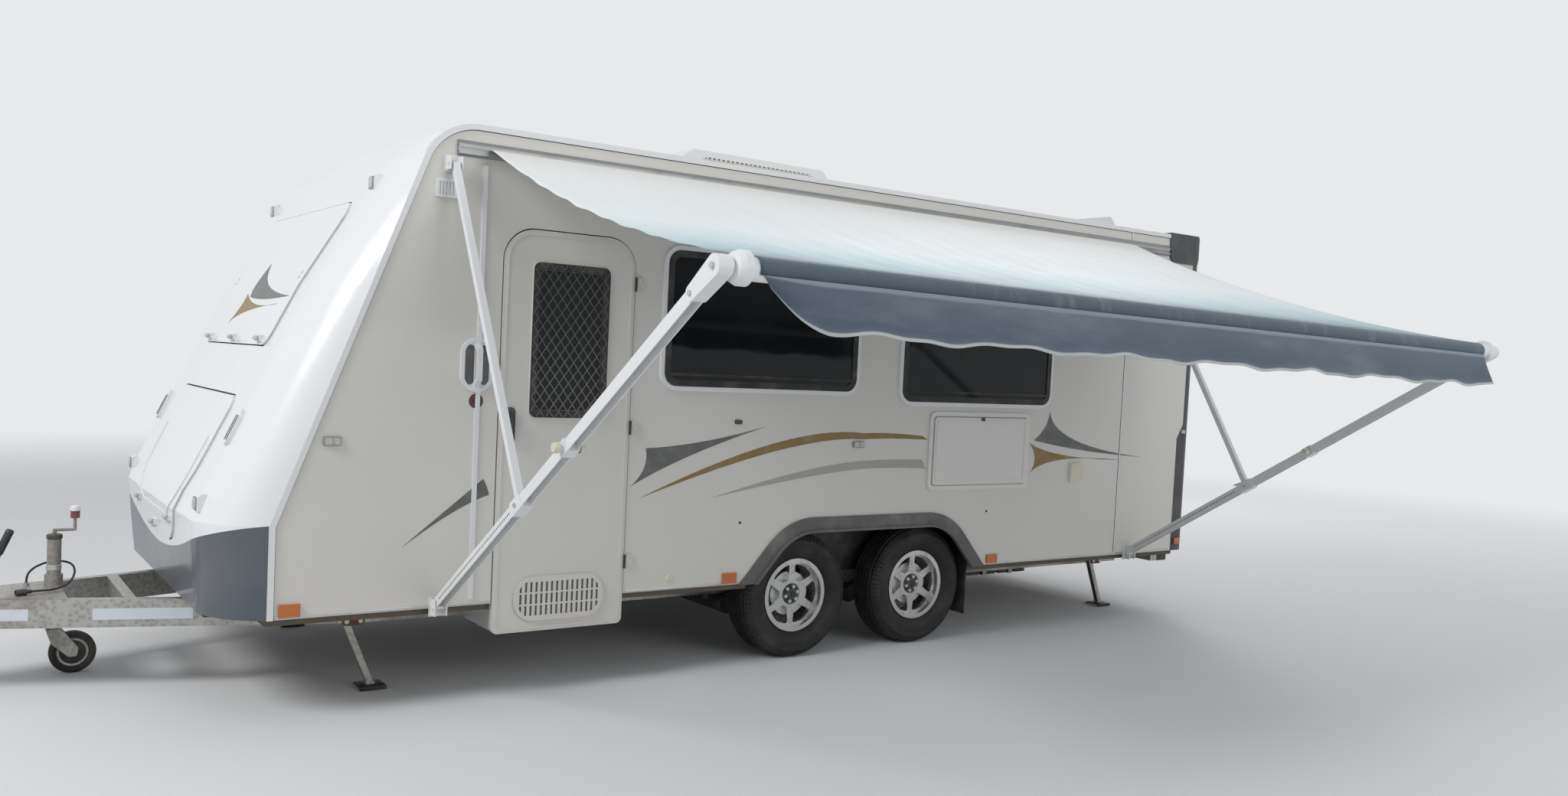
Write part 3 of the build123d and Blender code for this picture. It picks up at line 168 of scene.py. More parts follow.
# Vinyl stripes on the door side, each an outline of curves (start, through, end) in x and z
STRIPES = (
    ("dart", "stripe_slate", (
        ((1.703, 0.992), (1.778, 1.083), (1.785, 1.186)),
        ((1.785, 1.186), (2.13, 1.222), (2.527, 1.305)),
        ((2.527, 1.305), (2.05, 1.148), (1.703, 0.992)))),
    ("gold_arc", "stripe_gold", (
        ((1.756, 0.932), (2.58, 1.213), (3.20, 1.270)), ((3.20, 1.270), (3.43, 1.270), (3.685, 1.252)),
        ((3.685, 1.234), (3.43, 1.240), (3.20, 1.236)), ((3.20, 1.236), (2.60, 1.172), (1.756, 0.932)))),
    ("silver_arc", "stripe_silver", (
        ((2.191, 0.925), (2.75, 1.055), (3.20, 1.112)), ((3.20, 1.112), (3.43, 1.119), (3.685, 1.116)),
        ((3.685, 1.062), (3.43, 1.070), (3.20, 1.066)), ((3.20, 1.066), (2.77, 1.020), (2.191, 0.925)))),
    ("wedge", "stripe_slate", (
        ((0.562, 0.740), (0.745, 0.890), (0.934, 1.044)),
        ((0.934, 1.044), (0.953, 1.008), (0.965, 0.969)),
        ((0.965, 0.969), (0.79, 0.890), (0.562, 0.740)))),
    ("slate_fin", "stripe_slate", (
        ((4.593, 1.233), (4.69, 1.320), (4.726, 1.421)), ((4.726, 1.421), (4.98, 1.235), (5.667, 1.121)),
        ((5.667, 1.121), (5.08, 1.166), (4.593, 1.233)))),
    ("gold_fin", "stripe_gold", (
        ((4.564, 1.021), (4.610, 1.118), (4.548, 1.220)), ((4.548, 1.220), (4.86, 1.140), (5.414, 1.104)),
        ((5.414, 1.104), (4.85, 1.107), (4.564, 1.021)))),
)
STRIPE_LIFT = 0.0002

# Vinyl fins on the window cover, in y and z, and the height at which the cover bends
FRONT_FINS = (
    ("slate_fin", "stripe_slate", (
        ((0.086, 2.026), (-0.145, 1.908), (-0.672, 1.846)),
        ((-0.672, 1.846), (-0.20, 1.836), (0.129, 1.852)),
        ((0.129, 1.852), (0.140, 1.930), (0.086, 2.026)))),
    ("gold_fin", "stripe_gold", (
        ((0.211, 1.868), (0.232, 1.800), (0.323, 1.716)),
        ((0.323, 1.716), (0.05, 1.776), (-0.535, 1.811)),
        ((-0.535, 1.811), (-0.10, 1.810), (0.211, 1.868)))),
)
FIN_LIFT = 0.0004
COVER_BEND = 1.9

# Small parts of the door side, at (x, z) or in a box; plates have a box, radius, foot and depth
STRIP_SCREWS = tuple((0.891, z / 100) for z in (52, 80, 108, 136, 176, 204, 232))
TABLE_SCREWS = tuple((x, z) for x in (3.706, 4.1165, 4.527) for z in (0.945, 1.390))
BLANK_PLUG = (0.885, 1.405)
DARK_MARKS = ((2.375, 0.787), (4.206, 0.792))
DARK_PLATES = (((2.312, 2.356, 1.313, 1.337), 0.0118, -SUNK, 0.012),
               ((4.100, 4.130, 1.350, 1.372), 0.004, 0.019, 0.005))
HANDLE_CUPS = ((0.826, 0.868, 1.480, 1.663), (0.898, 0.940, 1.480, 1.663))
PALE_CAP = (1.955, 0.515)
INLET = (4.938, 5.050, 0.960, 1.092)
WALL_LAMPS = ((0.208, 0.285, 1.198, 1.239), (3.116, 3.198, 1.188, 1.226))

# Door: the vent's box and how deep its slots' floors lie, and the hinges
DOOR_VENT = (1.095, 1.575, 0.355, 0.580)
SLOT_DEPTH = (0.0065, 0.0100)
HINGE_KNUCKLE = 0.013
HINGES_Z = (0.62, 1.29, 2.0)

# Door grille: columns and rows of diamonds, and how far its wires run over the window's seal
GRILLE_COLUMNS, GRILLE_ROWS = 7, 10
WIRE_REACH, WIRE_WIDE, WIRE_DEEP = 0.026, 0.0045, 0.0014

# Seal of the door's window: growth and corner radius of its outlines, the outer one first
SEAL_RINGS = ((0.031, 0.034), (-0.0005, 0.004), (-0.002, 0.003))

# Small parts of the front, at (y, z); lamp blocks are corners from their place, and a rounding
FRONT_LAMPS = ((0.925, 0.93), (0.925, 2.37))
LAMP_FRAME = ((-0.004, -0.030, -0.026), (0.004, 0.030, 0.030), 0.0015)
LAMP_LENS = ((-0.009, -0.025, -0.021), (0.002, 0.025, 0.025), 0.004)

# Front handles, and a cup's inner edge and outer edge from the handle's middle and half height
FRONT_HANDLE = (0.885, 1.255)
FRONT_CUP = (0.0095, 0.0235, 0.054)

# Latches of the lids, whose face is found a little below each of them, and the cover's screws
LATCHES = (("front_cover", ((-0.56, 1.645), (0.0, 1.645), (0.56, 1.645))),
           ("gas_lid", ((-0.43, 0.81), (0.0, 0.734), (0.43, 0.81))))
LATCH_RISE = 0.02
LATCH_BAR = ((-0.012, -0.028, 0.013), (-0.003, 0.028, 0.027), 0.003)
STRUT_SCREWS = ((0.66, 1.935), (0.66, 1.960))

# Drawbar: its nose and joint (x, y), the tapes on it (from, to, foot and top) and the lever
NOSE, JOIN = (-1.25, 0.042), (0.52, 0.62)
TAPES = ((0.25, 0.493), (0.75, 1.165))
TAPE_Z, TAPE_OUT = (0.331, 0.383), 0.0245
LEVER = ((-0.96, 0.0, 0.45), (-0.85, 0.0, 0.71))
MAST = (-0.665, 0.110)
CRANK_OUT = 0.084

# Wheels: name and side, places of the nuts and the valve (along and across the axle)
WHEELS = (("front_left", -1), ("front_right", 1), ("rear_left", -1), ("rear_right", 1))
HUB_FACE = 0.034
NUT_RING, NUT_HIGH = 0.042, 0.019
VALVE = ((0.055, 0.168), (0.083, 0.163), 0.004)
TREAD_HALF, TREAD_STRIPS, TREAD_DEEP = 0.078, 10, 0.008
SEAT_RADIUS, RIM_RADIUS = 0.190, 0.206

# Water tanks (front and rear end), and the straps under them
TANKS = ((1.267, 1.893), (4.647, 5.273))
STRAP_HALF, STRAP_THICK, STRAP_HOOK, STRAP_TOP = 0.018, 0.003, 0.031, 0.33

# Rear lamps: colour, foot and top of the tail lamps, and boxes on the walls
TAIL_LAMPS = (("red", 0.62, 0.745), ("clear", 0.748, 0.805), ("amber", 0.808, 0.90))
TAIL_LAMP_Y = (0.868, 1.052)
CORNER_LAMP = (6.082, 6.118, 1.285, 1.312)
CORNER_MARKER = (6.070, 6.122, 0.500, 0.545)
HIGH_LAMP_Z = 2.58
HIGH_LAMP = ((-0.004, -0.15, -0.014), (0.012, 0.15, 0.014), 0.005)

# Reflectors on the bumper (place, half width, foot and top in y and z), and the plate's box
BUMPER_REFLECTORS = (0.68, 0.04, 0.36, 0.40)
PLATE = (0.56, 0.93, 1.02, 1.155)

# Roof cooler's screens: ends, foot, top, place and lean of the slats, and the bars (z, y)
COOLER_GRILLE = (2.56, 3.39)
SLAT_FOOT, SLAT_TOP, SLAT_Y, SLAT_LEAN = 0.100, 0.170, 0.332, 0.35
SLAT_BARS = ((0.101, 0.331), (0.135, 0.3195), (0.168, 0.308))

# Turned parts, each a profile of (radius, place along the axis)
PLUG_BODY = ((0, 0), (0.0068, 0), (0.0088, 0.004), (0.0088, 0.020), (0.0145, 0.022), (0.0145, 0.058),
             (0.0128, 0.066), (0.010, 0.066), (0.010, 0.052), (0, 0.052))
PLUG_FACE = ((0, 0.0035), (0.031, 0.0035), (0.034, 0.001), (0.034, -0.001))
PLUG_RING = ((0.021, 0.003), (0.021, 0.0045), (0.029, 0.0045), (0.029, 0.003), (0.021, 0.003))
MARK_FACE = ((0, 0.003), (0.0056, 0.003), (0.008, 0.001), (0.008, -0.001))
PALE_FACE = ((0, 0.006), (0.016, 0.006), (0.021, 0.002), (0.021, -0.001))
LATCH_HUB = ((0, 0.010), (0.010, 0.010), (0.012, 0.006), (0.012, -0.004))
LOCK_FACE = ((0, 0.004), (0.007, 0.004), (0.009, 0.001), (0.009, -0.003))
HINGE_PIN = ((0, 0.004), (0.004, 0.003), (0.005, -0.002))
HUB = ((0, 0.064), (0.020, 0.063), (0.027, 0.056), (0.027, HUB_FACE + SUNK), (0.0535, HUB_FACE + SUNK),
       (0.0535, HUB_FACE - SUNK))
LEVER_GRIP = ((0, 0.006), (0.012, 0.005), (0.0175, -0.002), (0.0175, -0.020), (0.0165, -0.024),
              (0.0175, -0.028), (0.0175, -0.110), (0.0145, -0.116), (0.0139, -0.116))
CRANK_GRIP = ((0.0179, 0.745), (0.0205, 0.747), (0.0195, 0.760), (0.0205, 0.778), (0.0179, 0.779))
CRANK_CAP = ((0.0179, 0.779), (0.0215, 0.780), (0.0225, 0.795), (0.018, 0.8035), (0, 0.8045))
MAST_CAP = ((0.0299, 0.648), (0.034, 0.650), (0.034, 0.668), (0.026, 0.672), (0, 0.672))
MAST_RING = ((0.0299, 0.500), (0.0325, 0.502), (0.0325, 0.524), (0.0299, 0.526))
JOCKEY_RIM = ((0.056, 0.011), (0.057, 0.016), (0.066, 0.017), (0.069, 0.0118))
JOCKEY_HUB = ((0.014, 0.0235), (0.0195, 0.0245), (0.0215, 0.0235))
LEG_NUT = ((0, 0.012), (0.010, 0.012), (0.012, 0.009), (0.012, 0.003))
ARM_KNOB = ((0, 0.020), (0.017, 0.018), (0.021, 0.010), (0.021, -0.004))

# Floor: the middle of the visible part, and where it starts and ends to fade
FLOOR_MIDDLE = 3.0
FLOOR_FADE = (6.5, 17.0)
FLOOR_RADIUS = 60

CAMERA_PLACE = (-1.248, -6.586, 1.653)
CAMERA_YAW, CAMERA_PITCH, CAMERA_ROLL = radians(35.639), radians(-2.677), radians(2.800)
CAMERA_LENS = 28.19
CAMERA_SHIFT = 0.0137


def spot(x, y, z):
    """Row-frame point of a place on the body."""
    return Vector((FOOT_X + x, y, GROUND + z))


def side_spot(x, z, out=0.0, sign=-1):
    """Point on the outer face of a side wall, moved outwards."""
    return spot(x, sign * (SIDE_Y + out), z)


def between(low, high, share):
    return low + (high - low) * share


def grown(box, wide, high=None):
    """Box grown at its ends, and as much or by its own amount at its foot and top."""
    x0, x1, z0, z1 = box
    high = wide if high is None else high
    return x0 - wide, x1 + wide, z0 - high, z1 + high


# Shader maths


class Flow:
    """A socket's value; Python's operators on it add their Math nodes."""

    def __init__(self, paint, socket):
        self.paint = paint
        self.socket = socket

    def math(self, operation, *values):
        return self.paint.node("ShaderNodeMath", {"operation": operation}, values)

    def __add__(self, other):
        return self.math("ADD", self, other)

    def __radd__(self, other):
        return self.math("ADD", other, self)

    def __sub__(self, other):
        return self.math("SUBTRACT", self, other)

    def __rsub__(self, other):
        return self.math("SUBTRACT", other, self)

    def __mul__(self, other):
        return self.math("MULTIPLY", self, other)

    def __rmul__(self, other):
        return self.math("MULTIPLY", other, self)

    def __abs__(self):
        return self.math("ABSOLUTE", self)

    def __pow__(self, other):
        return self.math("POWER", self, other)

    def step(self, low, high, start=0.0, end=1.0):
        """Eases from start to end as the value goes from low to high."""
        settings = {"interpolation_type": "SMOOTHSTEP"}
        return self.paint.node("ShaderNodeMapRange", settings, (self, low, high, start, end))

    def within(self, low, high, soft):
        """1 between two values and 0 outside them."""
        return self.step(low, low + soft) * self.step(high - soft, high, 1, 0)

    def wave(self, period):
        """Swings between 0 and 1 with a period."""
        return self.math("SINE", self * (2 * pi / period)) * 0.5 + 0.5


class Paint:
    """A material under construction, with the constants of its shader set on the sockets."""

    def __init__(self, name, constants):
        self.material = bpy.data.materials.new(name)
        self.material.use_nodes = True
        self.tree = self.material.node_tree
        self.shader = self.tree.nodes["Principled BSDF"]
        for socket, value in constants.items():
            self.shader.inputs[socket].default_value = value
        self.places = None

    def node(self, kind, settings=None, values=(), output=0):
        """One node: its settings, then the values or links of its sockets."""
        node = self.tree.nodes.new(kind)
        for name, value in (settings or {}).items():
            if name == "stops":
                self.set_stops(node.color_ramp, value)
            else:
                setattr(node, name, value)
        pairs = values.items() if isinstance(values, dict) else enumerate(values)
        for key, value in pairs:
            if isinstance(value, Flow):
                self.tree.links.new(value.socket, node.inputs[key])
            else:
                node.inputs[key].default_value = value
        return Flow(self, node.outputs[output])

    def set_stops(self, ramp, stops):
        while len(ramp.elements) < len(stops):
            ramp.elements.new(0.5)
        for element, (place, colour) in zip(ramp.elements, stops):
            element.position = place
            element.color = (*colour, 1)

    def link(self, socket, flow):
        self.tree.links.new(flow.socket, self.shader.inputs[socket])

    def place(self, axis=None):
        """Object coordinates, or one of them."""
        if self.places is None:
            self.places = self.node("ShaderNodeTexCoord", output="Object")
        if axis is None:
            return self.places
        return self.node("ShaderNodeSeparateXYZ", values=[self.places], output=axis)

    def uv(self, axis):
        whole = self.node("ShaderNodeTexCoord", output="UV")
        return self.node("ShaderNodeSeparateXYZ", values=[whole], output=axis)

    def noise(self, scale, detail, rough=0.5, stretch=(1, 1, 1)):
        where = self.node("ShaderNodeMapping", values={"Vector": self.place(), "Scale": stretch})
        values = {"Vector": where, "Scale": scale, "Detail": detail, "Roughness": rough}
        return self.node("ShaderNodeTexNoise", values=values)

    def cells(self, scale):
        return self.node("ShaderNodeTexVoronoi", values={"Vector": self.place(), "Scale": scale})

    def mix(self, share, first, second):
        """A colour between two, by share."""
        first = first if isinstance(first, Flow) else (*first, 1)
        second = second if isinstance(second, Flow) else (*second, 1)
        values = {0: share, 6: first, 7: second}
        return self.node("ShaderNodeMix", {"data_type": "RGBA"}, values, output=2)

    def ramp(self, stops, value):
        return self.node("ShaderNodeValToRGB", {"stops": stops}, [value])

    def finish(self, colour, roughness=None, height=None, depth=0.0, strength=1.0):
        """The material, with its colour, gloss, and the bump of a height map depth metres deep."""
        self.link("Base Color", colour)
        if roughness is not None:
            self.link("Roughness", roughness)
        if height is not None:
            values = {"Strength": strength, "Distance": depth, "Height": height}
            self.link("Normal", self.node("ShaderNodeBump", values=values))
        return self.material


# Finishes


DUST, OLD_DUST = (0.33, 0.31, 0.28), (0.46, 0.42, 0.36)


def tinted(colour, share):
    return tuple(channel * share for channel in colour)


def vent_slot_shade(paint):
    """Mask of painted shade in the door's vent: 1 on the floors of its slots and low on its rim, and 0
    elsewhere.
    """
    x0, x1, z0, z1 = DOOR_VENT
    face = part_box("door")[0].y
    start, end = (face + depth for depth in SLOT_DEPTH)
    soft, soft_deep = 0.002, 0.001
    return (paint.place("X").within(FOOT_X + x0, FOOT_X + x1, soft)
            * paint.place("Z").within(GROUND + z0, GROUND + z1, soft)
            * paint.place("Y").within(start, end + soft_deep, soft_deep))


def coated(name, colour, gloss, grime, ripple=0.0004, coat=0.25, shade=None):
    """Sprayed sheet or gelcoat: faint mottling, ripple in its gloss, dust near the ground, and painted shade
    where a shade mask is given.
    """
    paint = Paint(name, {"Roughness": gloss, "Coat Weight": coat, "Coat Roughness": 0.08})
    broad, fine = paint.noise(1.3, 3), paint.noise(38, 5, 0.6)
    low = paint.place("Z").step(GROUND + 0.25, GROUND + 0.95, 1, 0)
    dust = (low * broad.step(0.3, 0.7) * 0.8 + fine.step(0.55, 0.8) * 0.2) * grime
    base = paint.mix(dust, paint.mix(broad.step(0.25, 0.75), tinted(colour, 0.965), colour), OLD_DUST)
    # Painted shade: the mask's places are darkened nearly to black.
    if shade:
        base = paint.mix(shade(paint) * 0.8, base, (0.05, 0.045, 0.04))
    roughness = dust * 0.45 + fine * 0.06 + (gloss - 0.03)
    return paint.finish(base, roughness, paint.noise(9, 2), ripple, 0.35)


def front_shell(name, upper, lower):
    """Front mouldings: white gelcoat down to the skirt's curved upper edge, dark grey below it, and a dark
    line at the join that is partly a sealant joint and partly painted shadow under the skirt's lip.
    """
    paint = Paint(name, {"Coat Weight": 0.5, "Coat Roughness": 0.08})
    aside = abs(paint.place("Y")) * (1 / SIDE_Y)
    over = paint.place("Z") - (aside ** SKIRT_CURVE * SKIRT_RISE + (GROUND + SKIRT_FOOT))
    half_line = 0.0015
    white = over.step(-half_line, half_line)
    # Dark line at the join: partly a sealant joint, partly painted shadow under the skirt's lip.
    joint = 1 - abs(over).step(half_line, 0.004)
    broad, fine = paint.noise(1.3, 3), paint.noise(38, 5, 0.6)
    gelcoat = paint.mix(broad.step(0.25, 0.75), tinted(upper, 0.965), upper)
    grey = paint.mix(broad.step(0.45, 0.8) * 0.22, lower, DUST)
    base = paint.mix(joint * 0.8, paint.mix(white, grey, gelcoat), (0.02, 0.02, 0.02))
    return paint.finish(base, 0.36 - white * 0.17 + fine * 0.06, paint.noise(9, 2), 0.0006, 0.35)


def hinge_enamel(name, leaf):
    """Hinges: a black knuckle along the door's edge, and a leaf in the wall's colour."""
    paint = Paint(name, {"Roughness": 0.42})
    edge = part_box("door_hinges")[0].x + HINGE_KNUCKLE
    return paint.finish(paint.mix(paint.place("X").step(edge, edge + 0.001), (0.022, 0.022, 0.023), leaf))


def moulded(name, colour, gloss=0.42, grain=260.0, depth=0.00012, grime=0.3):
    """Moulded plastic with a fine leather grain and dust in it."""
    paint = Paint(name, {"Roughness": gloss})
    broad = paint.noise(5, 4)
    base = paint.mix(broad.step(0.45, 0.8) * grime, colour, DUST)
    return paint.finish(base, broad * 0.16 + (gloss - 0.06), paint.noise(grain, 2), depth, 0.6)


def zinc(name, colour):
    """Weathered hot-dip zinc: dull spangle, run marks and brown bloom low down."""
    paint = Paint(name, {"Metallic": 0.85, "Roughness": 0.5})
    cloud = paint.noise(4.5, 6, stretch=(1, 1, 1.8))
    bloom = paint.noise(2.1, 5, 0.62).step(0.48, 0.72)
    base = paint.mix(paint.cells(46).step(0.1, 0.7), tinted(colour, 0.82), tinted(colour, 1.15))
    base = paint.mix(bloom * 0.55, base, (0.20, 0.165, 0.125))
    paint.link("Metallic", 0.9 - bloom * 0.35)
    return paint.finish(base, cloud * 0.22 + bloom * 0.14 + 0.34, paint.noise(110, 4), 0.0004, 0.35)


def painted_steel(name, colour, gloss=0.38, chips=0.3):
    """Painted steel with chips that show rust."""
    paint = Paint(name, {"Roughness": gloss})
    cloud = paint.noise(6, 5)
    rust = paint.noise(24, 6, 0.7).step(0.63, 0.72) * chips
    base = paint.mix(rust, paint.mix(cloud, tinted(colour, 0.75), colour), (0.17, 0.075, 0.035))
    roughness = cloud * 0.2 + rust * 0.3 + (gloss - 0.08)
    return paint.finish(base, roughness, paint.noise(160, 3), 0.0002, 0.4)


def filmed(name, constants, colour, film, cloud, edges, share, gloss, grain=(), **relief):
    """Plain colour under a patchy film, whose gloss runs from one value up by another."""
    paint = Paint(name, constants)
    patches = paint.noise(*cloud).step(*edges)
    height = paint.noise(*grain) if grain else None
    return paint.finish(paint.mix(patches * share, colour, film), patches * gloss[1] + gloss[0], height,
                        **relief)


def rubber(name, colour, gloss, dust):
    """Rubber with road dust in its hollows."""
    return filmed(name, {"Roughness": gloss, "Specular IOR Level": 0.35}, colour, (0.15, 0.135, 0.115),
                  (7, 5, 0.65), (0.4, 0.75), dust, (gloss - 0.1, 0.3 * dust), (230, 3), depth=0.0003,
                  strength=0.4)


def vinyl(name, colour):
    """Cut vinyl: flat colour gone slightly chalky."""
    return filmed(name, {"Roughness": 0.4}, colour, (0.5, 0.49, 0.46), (12, 5), (0.4, 0.8), 0.25,
                  (0.36, 0.15))


def cast_alloy(name):
    """Lacquered cast alloy: machined face, with brake dust."""
    return filmed(name, {"Metallic": 0.85, "Roughness": 0.3, "Coat Weight": 0.4}, (0.62, 0.62, 0.61),
                  (0.20, 0.175, 0.15), (16, 5), (0.35, 0.8), 0.5, (0.22, 0.25), (190, 2),
                  depth=0.0002, strength=0.3)


def dark_glass(name):
    """Smoke-tinted acrylic, slightly wavy, with a thin dust film."""
    constants = {"Roughness": 0.05, "Alpha": 0.97, "Coat Weight": 0.05, "Coat Roughness": 0.03,
                 "Specular IOR Level": 0.22}
    return filmed(name, constants, (0.007, 0.008, 0.009), (0.22, 0.21, 0.19), (3.2, 6, 0.6), (0.5, 0.85),
                  0.05, (0.04, 0.14), (1.6, 1), depth=0.004, strength=0.2)


def lens(name, colour):
    """Ribbed lamp lens over a reflector, with the light and shade of its ribs painted into its colour."""
    paint = Paint(name, {"Roughness": 0.16, "Coat Weight": 0.8, "Coat Roughness": 0.05})
    ribs = paint.place("X").wave(0.006) * paint.place("Z").wave(0.006)
    # Painted light and shade: the colour is darker in the grooves between the ribs and full on their tops.
    base = paint.mix(ribs, tinted(colour, 0.55), colour)
    return paint.finish(base, paint.noise(60, 2) * 0.12 + 0.1, ribs, 0.0006, 0.6)


def plywood(name):
    """Coated plywood of the floor's underside."""
    paint = Paint(name, {"Roughness": 0.6})
    grain = paint.noise(9, 6, 0.7, (0.35, 4, 4))
    base = paint.mix(grain, (0.055, 0.042, 0.028), (0.13, 0.10, 0.065))
    return paint.finish(base, grain * 0.2 + 0.5, grain, 0.0006, 0.5)


def wire_mesh(name):
    """Sheet behind the diamond grille: black flyscreen with a fine weave."""
    paint = Paint(name, {"Roughness": 0.7})
    weave = paint.place("X").wave(0.0016) * paint.place("Z").wave(0.0016)
    return paint.finish(paint.mix(weave, (0.012, 0.012, 0.013), (0.035, 0.035, 0.036)), None, weave,
                        0.0003, 0.5)


def anodised(name, colour):
    """Drawn aluminium section, with lines along its length."""
    paint = Paint(name, {"Metallic": 0.6, "Roughness": 0.45})
    lines = paint.noise(30, 4, stretch=(0.04, 3, 3))
    grime = paint.noise(5, 5).step(0.5, 0.8)
    base = paint.mix(grime * 0.4, paint.mix(lines, tinted(colour, 0.85), colour), (0.16, 0.15, 0.13))
    return paint.finish(base, lines * 0.15 + grime * 0.2 + 0.3, lines, 0.0003, 0.3)


def awning_cloth(name):
    """Coated polyester: white along the wall, fading through pale teal to a dark band at the roller; the
    dark band is partly the cloth's own colour and partly painted shade where the cloth curves round the
    roller.
    """
    paint = Paint(name, {"Roughness": 0.62, "Sheen Weight": 0.15})
    along, across = paint.uv("X"), paint.uv("Y")
    stain = paint.noise(2.2, 6, 0.62, (0.5, 1.6, 1))
    # Painted shade, in part: the ramp darkens towards the roller, where the cloth curves down round it.
    base = paint.ramp((
        (0.0, (0.80, 0.79, 0.74)), (0.08, (0.82, 0.84, 0.83)), (0.45, (0.78, 0.84, 0.85)),
        (0.62, (0.58, 0.71, 0.74)), (0.76, (0.36, 0.51, 0.55)), (0.86, (0.19, 0.30, 0.34)),
        (0.925, (0.075, 0.12, 0.15)), (1.0, (0.055, 0.085, 0.115))), across + stain * 0.05 - 0.025)
    streak = paint.noise(5, 5, stretch=(3.2, 0.25, 1)).step(0.55, 0.8)
    weave = (along * 4.6).wave(0.0022) + (across * 2.4).wave(0.0022)
    base = paint.mix(streak * 0.16, base, (0.55, 0.56, 0.52))
    return paint.finish(base, stain * 0.15 + 0.55, weave, 0.00025, 0.5)


def valance_cloth(name):
    """Dark blue-grey canvas of the valance with faint creases and a light worn foot; a painted highlight
    runs along its top and on its folds.
    """
    paint = Paint(name, {"Roughness": 0.7, "Sheen Weight": 0.2})
    along, across = paint.uv("X"), paint.uv("Y")
    crease = paint.noise(3, 6, 0.6, (0.6, 1, 2.6))
    # The pale band at the top of the ramp is a painted highlight where the valance leaves the roller.
    base = paint.ramp((
        (0.0, (0.30, 0.37, 0.42)), (0.07, (0.26, 0.33, 0.38)), (0.12, (0.10, 0.145, 0.185)),
        (0.80, (0.075, 0.105, 0.15)), (0.915, (0.11, 0.14, 0.18)), (0.945, (0.62, 0.66, 0.66)),
        (1.0, (0.70, 0.72, 0.71))), across)
    weave = (along * 4.6).wave(0.0024) + (across * 0.2).wave(0.0024)
    # Painted highlights: lighter patches follow the folds of the crease noise, which also makes the bump.
    base = paint.mix(crease.step(0.46, 0.75) * 0.42, base, (0.25, 0.30, 0.35))
    return paint.finish(base, crease * 0.2 + 0.6, weave * 0.3 + crease * 0.7, 0.004, 0.5)


def ground_sheet(name):
    """Plain pale studio floor that keeps its shadows and fades into the backdrop."""
    paint = Paint(name, {"Roughness": 0.9, "Specular IOR Level": 0.1})
    ahead, aside = paint.place("X") - (FOOT_X + FLOOR_MIDDLE), paint.place("Y")
    paint.link("Alpha", ((ahead * ahead + aside * aside) ** 0.5).step(*FLOOR_FADE, 1, 0))
    return paint.finish(paint.mix(paint.noise(0.4, 2), (0.72, 0.725, 0.73), (0.75, 0.755, 0.76)))


FINISHES = {}

# Nodes whose finish isn't the one of their slot
OWN_FINISHES = {
    "wheel_arches": "arch_grey", "jockey_mast": "galvanised", "front_panel": "front_shell",
    "front_skirt": "front_shell", "table_leaf": "leaf_white", "table_frame": "leaf_white",
    "door_hinges": "hinge_enamel"}


